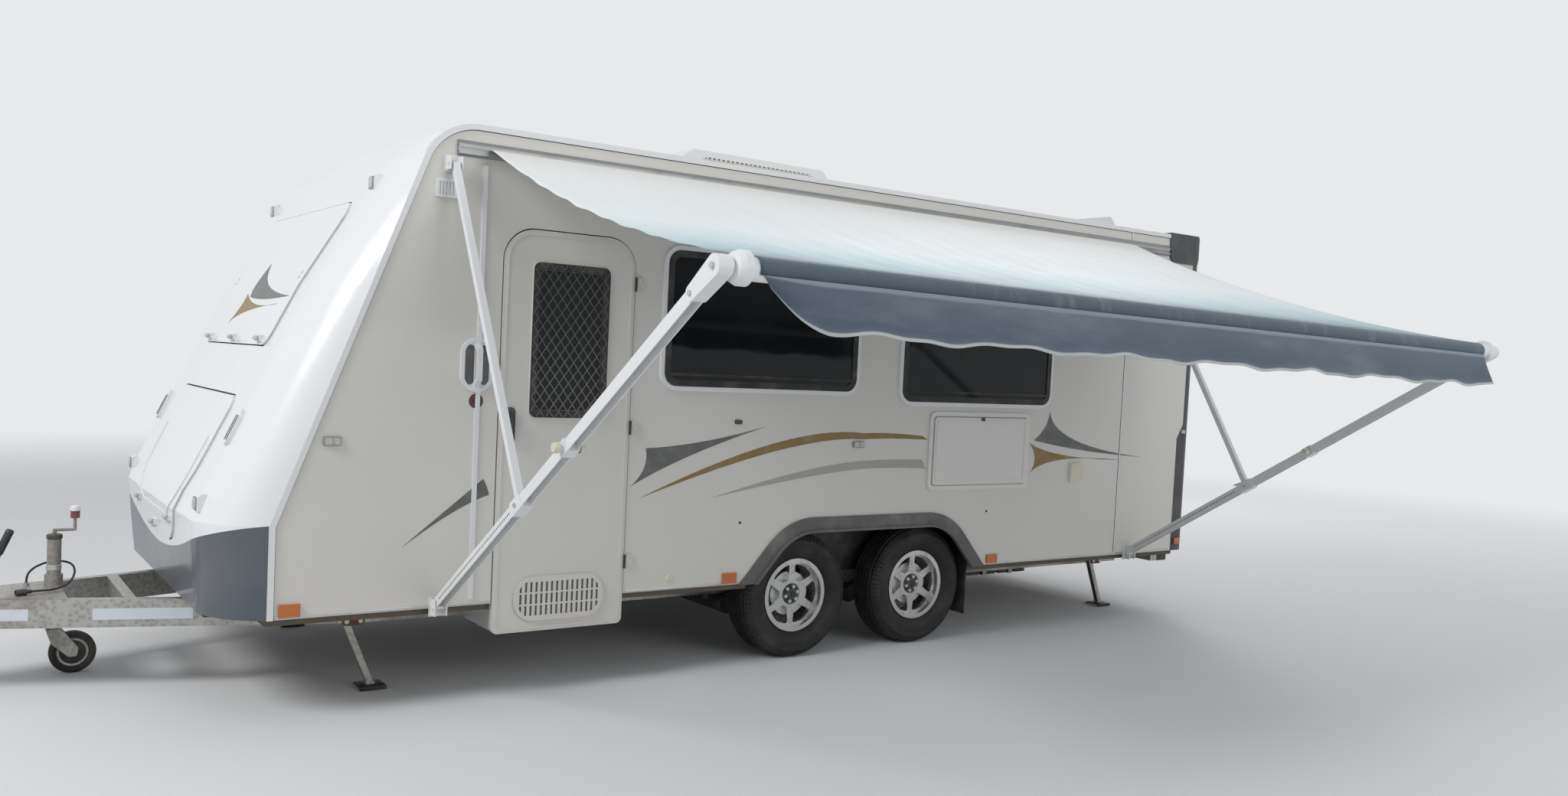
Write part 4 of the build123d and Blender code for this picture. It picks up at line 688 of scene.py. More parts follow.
def finish_table():
    """Material of each of the record's slots, and of the finishes that only the scene has."""
    colours = bpy.context.scene.caravan_colours
    wall, gelcoat, skirt = tuple(colours.wall), tuple(colours.gelcoat), tuple(colours.skirt)
    return {
        "body_white": coated("wall sheet", wall, 0.33, 0.30, 0.0003, 0.15),
        # The door skin gets painted shade on the floors of its vent's slots.
        "door_white": coated("door skin", tinted(wall, 0.98), 0.36, 0.35, 0.0003, 0.1, vent_slot_shade),
        "roof_white": coated("roof sheet", tinted(gelcoat, 0.97), 0.45, 0.4),
        "moulding_white": coated("gelcoat", gelcoat, 0.2, 0.2, 0.0006, 0.6),
        "moulding_grey": moulded("grey moulding", (0.043, 0.046, 0.052), 0.4, 180, 0.0001, 0.22),
        "frame_white": coated("white plastic", tinted(gelcoat, 0.96), 0.36, 0.3, 0.0001, 0.1),
        "arm_white": coated("arm enamel", tinted(gelcoat, 0.98), 0.4, 0.3, 0.0001, 0.1),
        "tinted_glass": dark_glass("smoked acrylic"),
        "floor_ply": plywood("floor board"),
        "painted_steel": painted_steel("painted sheet", (0.5, 0.5, 0.5)),
        "black_plastic": moulded("black plastic", (0.022, 0.022, 0.023)),
        "trim_grey": anodised("rail aluminium", (0.33, 0.335, 0.34)),
        "arch_grey": moulded("arch trim", (0.105, 0.10, 0.098), 0.5, 200, 0.0001, 0.5),
        "black_rubber": rubber("rubber", (0.022, 0.022, 0.023), 0.62, 0.45),
        "galvanised": zinc("weathered zinc", (0.40, 0.395, 0.375)),
        "dark_steel": painted_steel("underbody black", (0.035, 0.035, 0.037), 0.5, 0.5),
        "alloy": cast_alloy("cast alloy"),
        "tyre": rubber("tyre rubber", (0.012, 0.012, 0.013), 0.7, 0.2),
        "leaf_white": coated("table leaf", (0.72, 0.705, 0.67), 0.4, 0.3, 0.0001, 0.1),
        "screen_mesh": anodised("grille wire", (0.15, 0.15, 0.145)),
        "front_shell": front_shell("front mouldings", gelcoat, skirt),
        "hinge_enamel": hinge_enamel("hinge enamel", tinted(wall, 0.9)),
        "foot_strip": anodised("foot strip aluminium", (0.55, 0.55, 0.54)),
        "flyscreen": wire_mesh("flyscreen"),
        "awning_cloth": awning_cloth("awning cloth"),
        "valance_cloth": valance_cloth("valance cloth"),
        "amber_lens": lens("amber lens", (0.75, 0.19, 0.015)),
        "red_lens": lens("red lens", (0.42, 0.015, 0.015)),
        "clear_lens": lens("clear lens", (0.72, 0.71, 0.66)),
        "stripe_slate": vinyl("slate vinyl", (0.105, 0.11, 0.105)),
        "stripe_gold": vinyl("gold vinyl", (0.23, 0.145, 0.035)),
        "stripe_silver": vinyl("silver vinyl", (0.37, 0.37, 0.33)),
        "bright_wire": anodised("bright zinc", (0.62, 0.62, 0.6)),
        "cream": coated("cream plastic", (0.66, 0.61, 0.49), 0.45, 0.3, 0.0001, 0.05),
        "red_grip": moulded("red grip", (0.17, 0.022, 0.026), 0.4),
        "oxide": painted_steel("red oxide bracket", (0.16, 0.055, 0.035), 0.55, 0.6),
        "reflective": vinyl("reflective tape", (0.62, 0.66, 0.72)),
    }


def dress_nodes():
    """Give every carried-over node the finish of its slot."""
    slots = {part["node"]: part["material_slot"] for part in frame["record"]["subparts"]}
    for name, node in frame["nodes"].items():
        node.data.materials.clear()
        node.data.materials.append(FINISHES[OWN_FINISHES.get(name, slots[name])])


# Shapes


def block(bm, low, high, bevel=0.0):
    """Box between two corners, with its edges rounded."""
    low, high = Vector(low), Vector(high)
    low, high = Vector(map(min, low, high)), Vector(map(max, low, high))
    size = Matrix.Diagonal((*(high - low), 1))
    made = bmesh.ops.create_cube(bm, size=1, matrix=Matrix.Translation((low + high) / 2) @ size)
    if bevel:
        edges = {edge for vert in made["verts"] for edge in vert.link_edges}
        bmesh.ops.bevel(bm, geom=list(edges), offset=bevel, segments=2, affect="EDGES", profile=0.5,
                        material=-1)


def block_at(bm, place, low, high, bevel=0.0):
    """Box between two corners that are given from a place."""
    block(bm, place + Vector(low), place + Vector(high), bevel)


def side_block(bm, box, low, high, bevel=0.0, sign=-1):
    """Box on a side wall, between two heights over it."""
    x0, x1, z0, z1 = box
    block(bm, side_spot(x0, z0, low, sign), side_spot(x1, z1, high, sign), bevel)


def post(bm, start, end, radius, sides):
    """Round bar between two points."""
    start, end = Vector(start), Vector(end)
    turn = (end - start).to_track_quat("Z", "Y").to_matrix().to_4x4()
    place = Matrix.Translation((start + end) / 2) @ turn
    bmesh.ops.create_cone(bm, cap_ends=True, segments=sides, radius1=radius, radius2=radius,
                          matrix=place, depth=(end - start).length)


def turned(bm, profile, centre, axis, steps):
    """Ring or knob turned from a profile of (radius, place along the axis)."""
    centre, axis = Vector(centre), Vector(axis).normalized()
    out = axis.orthogonal().normalized()
    chain = [bm.verts.new(centre + axis * along + out * radius) for radius, along in profile]
    edges = [bm.edges.new(pair) for pair in zip(chain, chain[1:])]
    bmesh.ops.spin(bm, geom=chain + edges, cent=centre, axis=axis, angle=2 * pi, steps=steps,
                   use_merge=True)


def around(axis, count, first=0.0):
    """Directions square to an axis, in even steps round it."""
    side = axis.orthogonal().normalized()
    return [Matrix.Rotation(2 * pi * (step + first) / count, 3, axis) @ side for step in range(count)]


def thicken(bm, faces, depth):
    """Move a copy of some faces along depth, joined to them round their edge."""
    made = bmesh.ops.extrude_face_region(bm, geom=faces, use_keep_orig=True)
    moved = [item for item in made["geom"] if isinstance(item, bmesh.types.BMVert)]
    bmesh.ops.translate(bm, verts=moved, vec=Vector(depth))


def plate(bm, points, depth):
    """Sheet with an outline, thickened along depth."""
    thicken(bm, [bm.faces.new([bm.verts.new(point) for point in points])], depth)


def band(bm, outer, inner, depth):
    """Flat ring between two outlines of as many points, thickened along depth."""
    edges = []
    for points in (outer, inner):
        loop = [bm.verts.new(point) for point in points]
        edges += [bm.edges.new((one, two)) for one, two in zip(loop, loop[1:] + loop[:1])]
    thicken(bm, bmesh.ops.bridge_loops(bm, edges=edges)["faces"], depth)


def beam(bm, start, end, across, wide, deep):
    """Square bar between two points, whose width lies along across."""
    start, end, across = Vector(start), Vector(end), Vector(across).normalized() * (wide / 2)
    level = (end - start).cross(across).normalized() * (deep / 2)
    ends = [[bm.verts.new(point + across * i + level * j) for i, j in ((-1, -1), (1, -1), (1, 1), (-1, 1))]
            for point in (start, end)]
    bm.faces.new(reversed(ends[0]))
    bm.faces.new(ends[1])
    for step in range(4):
        after = (step + 1) % 4
        bm.faces.new((ends[0][step], ends[0][after], ends[1][after], ends[1][step]))


def screw(bm, place, out, radius=0.0055):
    """Domed screw head, with its foot just under the surface."""
    turned(bm, ((0, 0.0026), (radius * 0.6, 0.0022), (radius, 0.0006), (radius, -0.0006)), place, out, 12)


def hexagon(bm, place, out, radius, high):
    out = Vector(out).normalized()
    post(bm, Vector(place) - out * 0.002, Vector(place) + out * high, radius, 6)


def round_outline(x0, x1, z0, z1, radius, steps=8):
    """Corners of a rounded rectangle as (x, z), anticlockwise from the right foot."""
    corners = ((x1 - radius, z0 + radius, -90), (x1 - radius, z1 - radius, 0),
               (x0 + radius, z1 - radius, 90), (x0 + radius, z0 + radius, 180))
    points = []
    for x, z, start in corners:
        for step in range(steps + 1):
            angle = radians(start + 90 * step / steps)
            points.append((x + radius * cos(angle), z + radius * sin(angle)))
    return points


def vinyl_outline(curves):
    """Points of an outline of parabolas, each through three points, without their last points."""
    points = []
    for curve in curves:
        start, through, end = map(Vector, curve)
        pull = 2 * through - (start + end) / 2
        for share in (step / ARC_STEPS for step in range(ARC_STEPS)):
            points.append(start * (1 - share) ** 2 + pull * 2 * share * (1 - share) + end * share ** 2)
    return points


def edge_line(inset):
    """Front edge and roof line of a side wall, from the foot to the spoiler, moved inwards."""
    points = [(inset, WALL_BASE), (inset, KNEE_Z - inset * tan(LEAN / 2))]
    centre_z, radius = ROOF_Z - ROOF_RADIUS, ROOF_RADIUS - inset
    for step in range(ARC_STEPS + 1):
        angle = LEAN + (pi / 2 - LEAN) * step / ARC_STEPS
        points.append((ARC_X - radius * cos(angle), centre_z + radius * sin(angle)))
    points.append((SPOILER_X, ROOF_Z - inset))
    return points


def wall_outline(points, out, sign=-1):
    return [side_spot(x, z, out, sign) for x, z in points]


def side_plate(bm, box, radius, out, deep):
    """Rounded plate on the door side, from a height over the wall outwards."""
    plate(bm, wall_outline(round_outline(*box, radius), out), (0, -deep, 0))


SURFACES = {}


def hit(node, start, aim):
    """Point where a line first meets a node, and the surface's normal there."""
    if node not in SURFACES:
        bm = bmesh.new()
        bm.from_mesh(frame["nodes"][node].data)
        bm.transform(frame["nodes"][node].matrix_world)
        SURFACES[node] = BVHTree.FromBMesh(bm)
        bm.free()
    place, normal, *_ = SURFACES[node].ray_cast(Vector(start), Vector(aim))
    if place is None:
        raise RuntimeError(f"Nothing of {node} lies ahead of {tuple(start)}")
    return place, normal


def front_hit(node, y, z):
    """Point and normal on the front of a node."""
    return hit(node, spot(-1, y, z), BACK)


# Pieces


def linked(name, data):
    """New object in the scene."""
    made = bpy.data.objects.new(name, data)
    bpy.context.scene.collection.objects.link(made)
    return made


def mesh_of(bm, name):
    mesh = bpy.data.meshes.new(name)
    bm.to_mesh(mesh)
    bm.free()
    return mesh


def dressed(name, data, slot, finish, body):
    """New object with one finish, which rides on a body."""
    data.materials.append(FINISHES[finish or slot])
    made = linked(name, data)
    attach(made, body)
    return made


def piece(bm, name, slot, finish=None, body="van", crease=38.0, closed=True):
    """Turn a bmesh into a piece with one finish, which rides on a body."""
    bmesh.ops.remove_doubles(bm, verts=bm.verts, dist=MERGE)
    if closed:
        bmesh.ops.recalc_face_normals(bm, faces=bm.faces)
    limit = radians(crease)
    for face in bm.faces:
        face.smooth = True
    for edge in bm.edges:
        edge.smooth = edge.is_manifold and edge.calc_face_angle(pi) < limit
    return dressed(name, mesh_of(bm, name), slot, finish, body)


# Lead and cloth


def make_lead():
    """Trailer lead as one smooth curve, with its plug."""
    curve = bpy.data.curves.new("trailer_lead", "CURVE")
    curve.dimensions = "3D"
    curve.bevel_depth = LEAD_WIDE / 2
    curve.bevel_resolution = 5
    curve.use_fill_caps = True
    line = curve.splines.new("NURBS")
    line.points.add(len(LEAD_ROUTE) - 1)
    for point, place in zip(line.points, LEAD_ROUTE):
        point.co = (*spot(*place), 1)
    line.order_u = 3
    line.use_endpoint_u = True
    line.resolution_u = 12
    lead = dressed("trailer_lead", curve, "black_rubber", None, "van")
    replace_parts(lead, "lead")
    start = spot(*LEAD_ROUTE[-1])
    aim = start - spot(*LEAD_ROUTE[-2])
    aim.z = 0
    aim.normalize()
    bm = bmesh.new()
    turned(bm, PLUG_BODY, start, aim, 32)
    half = (PLUG_RIB_HALF,) * 3
    for side in around(aim, PLUG_RIBS):
        block_at(bm, start + aim * 0.040 + side * 0.0142, -Vector(half), half)
    plug = piece(bm, "lead_plug_body", "black_plastic")
    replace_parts(plug, "lead_plug")
    spot(*LEAD_ROUTE[0])


def sheet_grid(name, columns, rows, place, slot, thick):
    """Cloth: a grid whose corners are put in place by a function of its two shares."""
    bm = bmesh.new()
    bmesh.ops.create_grid(bm, x_segments=columns, y_segments=rows, size=0.5)
    layer = bm.loops.layers.uv.new("cloth")
    for face in bm.faces:
        face.smooth = True
        for loop in face.loops:
            loop[layer].uv = (loop.vert.co.x + 0.5, loop.vert.co.y + 0.5)
    for vert in bm.verts:
        vert.co = place(vert.co.x + 0.5, vert.co.y + 0.5)
    cloth = dressed(name, mesh_of(bm, name), slot, None, "van")
    shell = cloth.modifiers.new("thickness", "SOLIDIFY")
    shell.thickness = thick
    shell.offset = 0
    return cloth


def waves(table, along, across=0.0):
    """Sum of waves of (height, rate along, rate across)."""
    return sum(high * sin(along * rate + across * drift) for high, rate, drift in table)


def roller_height(x):
    return between(*ROLLER_Z, (x - ROLLER_ENDS[0]) / (ROLLER_ENDS[1] - ROLLER_ENDS[0]))


def canopy_place(along, across):
    """Point of the canopy: along its width, then across from the rail over the roller."""
    hug = ROLLER_RADIUS + 0.004
    x = between(*CLOTH_ENDS, along)
    height = roller_height(x)
    if across > WRAP_FROM:
        turn = (across - WRAP_FROM) / (1 - WRAP_FROM) * WRAP_TURN
        return spot(x - CLOTH_TAPER * (1 - along), -(ROLLER_Y + hug * sin(turn)), height + hug * cos(turn))
    share = across / WRAP_FROM
    free = 4 * share * (1 - share)
    flutter = max(0.0, 1 - along / 0.03) * free
    y = between(RAIL_LINE[0], ROLLER_Y - 0.006, share)
    z = between(RAIL_LINE[1], height + hug, share) - bpy.context.scene.caravan_sizes.sag * free
    z += free * waves(CANOPY_WAVES, x, share) + flutter * 0.003 * sin(share * 70)
    x -= CLOTH_TAPER * share * (1 - along) - flutter * 0.004 * sin(share * 40)
    return spot(x, -y, z)


def valance_place(along, across):
    """Point of the valance, which hangs from the roller's outer side and is lifted at its ends."""
    x = between(*VALANCE_ENDS, along)
    start, tail = min(1.0, along / 0.06), max(0.0, (along - 0.975) / 0.025)
    drop = VALANCE_DROP + waves(DROP_WAVES, along)
    drop *= (0.2 + 0.8 * sin(start * pi / 2)) * (1 - 0.12 * tail)
    out = 0.040 + across * (waves(SWING_WAVES, along) - 0.035 * (1 - start) + 0.045 * tail)
    z = roller_height(x) - 0.018 - drop * across
    return spot(x + 0.05 * across * (1 - start) + 0.065 * across ** 1.5 * tail, -(ROLLER_Y + out), z)


def make_awning():
    canopy = sheet_grid("canopy", 180, 96, canopy_place, "awning_cloth", 0.001)
    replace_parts(canopy, "awning_canopy")
    valance = sheet_grid("valance", 220, 10, valance_place, "valance_cloth", 0.0012)
    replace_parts(valance, "awning_valance")


def make_awning_parts():
    """Bolts of the arms' joints, knobs of their grips, dark discs of painted shade in the arms' holes, and
    the joint line along the rail.
    """
    bolts, knobs, holes = bmesh.new(), bmesh.new(), bmesh.new()
    for x, z in zip(ROLLER_ENDS, ROLLER_Z):
        foot, head = spot(x, -SIDE_Y - 0.026, ARM_FOOT_Z), spot(x, -ROLLER_Y, z)
        along, reach = (head - foot).normalized(), (head - foot).length
        for sign in (-1, 1):
            out = Vector((sign, 0, 0))
            hexagon(bolts, head + out * 0.027, out, 0.011, 0.009)
            hexagon(bolts, head - along * 0.15 + out * 0.027, out, 0.009, 0.007)
            hexagon(bolts, foot + along * (reach * SLIDE_SHARE) + out * 0.026, out, 0.009, 0.008)
            knob = foot + along * (reach * (SLIDE_SHARE + 0.18)) + out * 0.046
            turned(knobs, ARM_KNOB, knob, out, 24)
            # Dark discs in the arms' holes: painted shade of their insides.
            for step in range(int((reach * SLIDE_SHARE - HOLES_OFF) / HOLE_EVERY)):
                at = foot + along * (HOLES_FROM + HOLE_EVERY * step) + out * ARM_HALF
                post(holes, at - out * SUNK, at + out * 0.0004, 0.0045, 10)
    piece(bolts, "arm_bolts", "galvanised", "bright_wire")
    piece(knobs, "arm_knobs", "arm_white", "cream")
    piece(holes, "arm_hole_shade", "black_plastic")
    low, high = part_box("awning_rail")
    bm = bmesh.new()
    y, z, inset = low.y + 0.008, GROUND + RAIL_LINE[1], 0.002
    post(bm, (low.x + inset, y, z), (high.x - inset, y, z), 0.006, 12)
    piece(bm, "rail_cord", "frame_white")


# Wheels


def each_wheel():
    """Name, body and outward direction of every wheel, with the spare one last."""
    road = [(name, f"wheel_{name}", Vector((0, sign, 0))) for name, sign in WHEELS]
    return [*road, ("spare", "van", Vector(BACK))]


def wheel_node(kind, name):
    return f"spare_{kind}" if name == "spare" else f"{kind}_{name}"


def tyre_shape(radius, wide):
    """Tyre about Z with five ribs of blocks, whose tops reach the full radius."""
    base, half = radius - TREAD_DEEP, wide / 2
    edge = (base - 0.010, half - 0.020)
    tread = [(base, TREAD_HALF * (2 * step / TREAD_STRIPS - 1)) for step in range(TREAD_STRIPS + 1)]
    wall = (edge, (radius - 0.045, half - 0.004), (radius - 0.075, half),
            (RIM_RADIUS + 0.045, half - 0.004), (RIM_RADIUS + 0.012, half - 0.020),
            (RIM_RADIUS + 0.001, half - 0.034), (SEAT_RADIUS, half - 0.040))
    bm = bmesh.new()
    turned(bm, [(r, -h) for r, h in reversed(wall)] + tread + list(wall), (0, 0, 0), UP, 80)
    bmesh.ops.remove_doubles(bm, verts=bm.verts, dist=MERGE)
    bmesh.ops.recalc_face_normals(bm, faces=bm.faces)
    ribs, shoulder = [], []
    for face in bm.faces:
        middle = face.calc_center_median()
        reach = hypot(*middle.xy)
        if reach > base - 0.003 and int((middle.z / TREAD_HALF + 1) * TREAD_STRIPS / 2) % 2 == 0:
            ribs.append(face)
        elif radius - 0.05 < reach < base - 0.004:
            shoulder.append(face)
    bmesh.ops.inset_individual(bm, faces=ribs, thickness=0.0022, depth=TREAD_DEEP)
    bmesh.ops.inset_individual(bm, faces=shoulder, thickness=0.004, depth=0.0035)
    return bm


def make_tyres():
    low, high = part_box("tyre_front_left")
    shape = tyre_shape((high.z - low.z) / 2, high.y - low.y)
    for name, body, out in each_wheel():
        node = wheel_node("tyre", name)
        low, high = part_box(node)
        turn = Matrix.Rotation(radians(90), 4, "X" if out.y else "Y")
        copy = shape.copy()
        copy.transform(Matrix.Translation((low + high) / 2) @ turn)
        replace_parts(piece(copy, f"{name}_tread_tyre", "tyre", body=body, crease=30), node)
    shape.free()


def make_wheel_parts():
    """Nuts, dark hub and valve of every wheel."""
    for name, body, out in each_wheel():
        low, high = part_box(wheel_node("rim", name))
        centre, side = (low + high) / 2, out.orthogonal().normalized()
        nuts, hub = bmesh.new(), bmesh.new()
        for away in around(out, 6, 0.5):
            hexagon(nuts, centre + out * HUB_FACE + away * NUT_RING, out,
                    bpy.context.scene.caravan_sizes.nut, NUT_HIGH)
        turned(hub, HUB, centre, out, 40)
        foot, tip = (centre + out * along + side * away for along, away in VALVE[:2])
        post(hub, foot, tip, VALVE[2], 12)
        piece(nuts, f"{name}_nuts", "alloy", "bright_wire", body)
        piece(hub, f"{name}_hub", "black_plastic", None, body)


# Walls and openings


def edge_plate(name, slot, sign, outer, inner, out, deep):
    """Strip along a side wall's front edge and roof line, between two insets."""
    bm = bmesh.new()
    line = edge_line(outer) + edge_line(inner)[::-1]
    plate(bm, wall_outline(line, out, sign), (0, sign * deep, 0))
    piece(bm, name, slot)


def make_wall_joints():
    """White cover on each wall's edge moulding, the joint line inside it, and the strips of the wall."""
    joint = bpy.context.scene.caravan_sizes.joint
    arch_low, arch_high = (corner.x - FOOT_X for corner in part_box("wheel_arches"))
    front, rear, high = FOOT_STRIP
    for sign, side in ((-1, "near"), (1, "far")):
        edge_plate(f"edge_cover_{side}", "frame_white", sign, EDGE_GAP, EDGE_WIDE - EDGE_GAP,
                   EDGE_OUT - 0.0005, 0.0013)
        bm = bmesh.new()
        stops = (front, *(DOORWAY if sign < 0 else ()), arch_low - ARCH_GAP, arch_high + ARCH_GAP, rear)
        for ends in zip(stops[::2], stops[1::2]):
            side_block(bm, (*ends, WALL_BASE, WALL_BASE + high), -SUNK, 0.003, 0.001, sign)
        piece(bm, f"foot_strip_{side}", "trim_grey", "foot_strip")
        edge_plate(f"edge_joint_{side}", "black_plastic", sign, EDGE_WIDE, EDGE_WIDE + joint, -SUNK, 0.0022)
        for name, slot, half, out, bevel in SEAM_STRIPS:
            bm = bmesh.new()
            box = (SEAM_X - half, SEAM_X + half, WALL_BASE, ROOF_Z - EDGE_WIDE)
            side_block(bm, box, -SUNK, out, bevel, sign)
            piece(bm, f"{name}_{side}", slot)


def make_stripes():
    for name, finish, curves in STRIPES:
        bm = bmesh.new()
        points = wall_outline(vinyl_outline(curves), STRIPE_LIFT)
        plate(bm, points, (0, -bpy.context.scene.caravan_sizes.vinyl, 0))
        piece(bm, f"stripe_{name}", "trim_grey", finish)


def make_wall_marks():
    """Screws, clips, plugs and the inlet's flap on the door side."""
    bm = bmesh.new()
    for places, out in ((STRIP_SCREWS, 0.007), (TABLE_SCREWS, 0.012)):
        for x, z in places:
            screw(bm, side_spot(x, z, out), OUTWARD)
    piece(bm, "wall_screws", "frame_white")
    bm = bmesh.new()
    turned(bm, PLUG_FACE, side_spot(*BLANK_PLUG), OUTWARD, 36)
    for place in DARK_MARKS:
        turned(bm, MARK_FACE, side_spot(*place), OUTWARD, 20)
    for row in DARK_PLATES:
        side_plate(bm, *row)
    piece(bm, "wall_dark_fittings", "black_plastic")
    bm = bmesh.new()
    turned(bm, PLUG_RING, side_spot(*BLANK_PLUG), OUTWARD, 36)
    piece(bm, "blank_plug_ring", "black_plastic", "red_grip")
    # Grey plates in the recesses of the door-side grab handle: painted shade.
    bm = bmesh.new()
    for box in HANDLE_CUPS:
        side_plate(bm, box, 0.018, 0.0045, 0.0012)
    piece(bm, "handle_cup_shade", "frame_white", "arch_grey")
    bm = bmesh.new()
    turned(bm, PALE_FACE, side_spot(*PALE_CAP), OUTWARD, 28)
    side_plate(bm, INLET, 0.018, 0.014, 0.006)
    x0, x1, _, z1 = INLET
    side_block(bm, (x0 + 0.01, x1 - 0.01, z1 - 0.016, z1 - 0.004), 0.018, 0.025, 0.002)
    piece(bm, "inlet_flap", "frame_white", "cream")


def make_wall_lamps():
    """Courtesy lamps on the door side: a white base with a ribbed clear lens."""
    bases, lenses = bmesh.new(), bmesh.new()
    for box in WALL_LAMPS:
        middle, half = (box[0] + box[1]) / 2, 0.002
        side_plate(bases, box, 0.006, -SUNK, 0.011)
        side_plate(lenses, grown(box, -0.007, -0.006), 0.004, 0.008, 0.010)
        side_block(bases, (middle - half, middle + half, box[2] + 0.004, box[3] - 0.004), 0.01, 0.020)
    piece(bases, "wall_lamp_bases", "trim_grey")
    piece(lenses, "wall_lamp_lenses", "amber_lens", "clear_lens")


def gasket(bm, box, put, depth):
    """Ring inside a window's frame, whose points a function puts in place."""
    outer, inner = ([put(*point) for point in round_outline(*grown(box, by), radius)]
                    for by, radius in GASKET_RINGS)
    band(bm, outer, inner, depth)


def make_window_seals():
    """Black gasket inside each window frame, with a glazing bar in the side windows."""
    bm = bmesh.new()
    for table, sign in ((WINDOWS_NEAR, -1), (WINDOWS_FAR, 1)):
        for box in table:
            gasket(bm, box, lambda x, z: side_spot(x, z, GASKET_OUT, sign), (0, sign * GASKET_DEEP, 0))
            x0, x1, z0, _ = box
            side_block(bm, (x0 + 0.03, x1 - 0.03, z0 + 0.052, z0 + 0.066), FRAME_PROUD - 0.006,
                       FRAME_PROUD + 0.002, 0.002, sign)
    out = BODY_REAR - REAR_INSET + GASKET_OUT
    gasket(bm, REAR_WINDOW, lambda y, z: spot(out, y, z), (GASKET_DEEP, 0, 0))
    piece(bm, "window_gaskets", "black_rubber")


def make_door_seal():
    """Black seal over the door's raised window frame, with the grille's wires run out over it."""
    low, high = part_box("door_screen")
    x0, x1, z0, z1 = box = (low.x, high.x, low.z, high.z)
    face = hit("door", (x0 - 0.012, low.y - 1, (z0 + z1) / 2), (0, 1, 0))[0].y
    bm = bmesh.new()
    outer, edge, inner = ([Vector((x, face + 0.0005, z)) for x, z in round_outline(*grown(box, by), radius)]
                          for by, radius in SEAL_RINGS)
    band(bm, outer, edge, (0, -0.0015, 0))
    lift = Vector((0, 0.0013, 0))
    band(bm, [point - lift for point in edge], [point - lift for point in inner], (0, 0.0065, 0))
    piece(bm, "door_window_seal", "black_plastic", "black_rubber", "door")
    bm = bmesh.new()
    wide, tall = (x1 - x0) / GRILLE_COLUMNS, (z1 - z0) / GRILLE_ROWS
    starts = [((x0 + wide * (column + 0.5), z), (wide / tall, way)) for column in range(GRILLE_COLUMNS)
              for z, way in ((z0, -1), (z1, 1))]
    starts += [((x, z0 + tall * (row + 0.5)), (way, tall / wide)) for row in range(GRILLE_ROWS)
               for x, way in ((x0, -1), (x1, 1))]
    for (x, z), (across, up) in starts:
        mirrored = (-across, up) if abs(up) == 1 else (across, -up)
        for aside, rise in ((across, up), mirrored):
            start = Vector((x, face - 0.0015, z))
            run = Vector((aside, 0, rise)) * WIRE_REACH
            beam(bm, start, start + run, run.cross(Vector((0, 1, 0))), WIRE_WIDE, WIRE_DEEP)
    piece(bm, "door_grille_border", "screen_mesh", None, "door")


def make_door_parts():
    """Flyscreen behind the grille, key lock, and the pins and screws of the hinges."""
    low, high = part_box("door_screen")
    bm = bmesh.new()
    inset, behind = 0.001, high.y + 0.0015
    block(bm, (low.x + inset, behind, low.z + inset), (high.x - inset, behind + 0.0005, high.z - inset))
    piece(bm, "door_flyscreen", "black_plastic", "flyscreen", "door")
    low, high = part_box("door_handle")
    bm = bmesh.new()
    turned(bm, LOCK_FACE, ((low.x + high.x) / 2, low.y + 0.029, low.z + 0.018), OUTWARD, 20)
    piece(bm, "door_lock", "galvanised", "bright_wire", "door")
    low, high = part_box("door_hinges")
    bm = bmesh.new()
    for z in HINGES_Z:
        for end in (-1, 1):
            pin = (low.x + 0.006, low.y + 0.006, GROUND + z + end * 0.035)
            turned(bm, HINGE_PIN, pin, (0, 0, end), 12)
            screw(bm, (high.x - 0.014, high.y - 0.012, GROUND + z + end * 0.02), OUTWARD, 0.005)
    piece(bm, "hinge_pins", "galvanised", "bright_wire")


# Front


def make_front_lamps():
    """Clear lenses and their frames on the moulding's shoulders."""
    lenses, frames = bmesh.new(), bmesh.new()
    for y, z in FRONT_LAMPS:
        for side in (-y, y):
            place = front_hit("front_panel", side, z)[0]
            block_at(frames, place, *LAMP_FRAME)
            block_at(lenses, place, *LAMP_LENS)
    piece(frames, "front_lamp_frames", "trim_grey")
    piece(lenses, "front_lamp_lenses", "amber_lens", "clear_lens")


def make_front_handles():
    """Grey floors in the cups of the front handles, one on each side of the grip: painted shade in the cups.
    """
    y, z = FRONT_HANDLE
    inner, outer, high = FRONT_CUP
    bm = bmesh.new()
    for centre in (-y, y):
        for side in (-1, 1):
            y0, y1 = sorted((centre + side * inner, centre + side * outer))
            floor = [front_hit("front_panel", *point)
                     for point in round_outline(y0, y1, z - high, z + high, 0.006)]
            plate(bm, [place + normal * 0.0003 for place, normal in floor], floor[0][1] * 0.001)
    # The grey finish stands for the shade in the cups: painted shade.
    piece(bm, "front_handle_cups", "moulding_white", "arch_grey")


def make_latches():
    """Zinc turn handles over the lids' latches, and the screws of the cover's struts."""
    for node, places in LATCHES:
        bm = bmesh.new()
        for y, z in places:
            foot = front_hit(node, y, z - LATCH_RISE)[0]
            turned(bm, LATCH_HUB, foot + Vector((0, 0, LATCH_RISE)), FORWARD, 20)
            block_at(bm, foot, *LATCH_BAR)
        if node == "front_cover":
            for y, z in STRUT_SCREWS:
                for side in (-y, y):
                    screw(bm, *front_hit(node, side, z), 0.009)
        piece(bm, f"{node}_latches", "galvanised", "bright_wire", node)


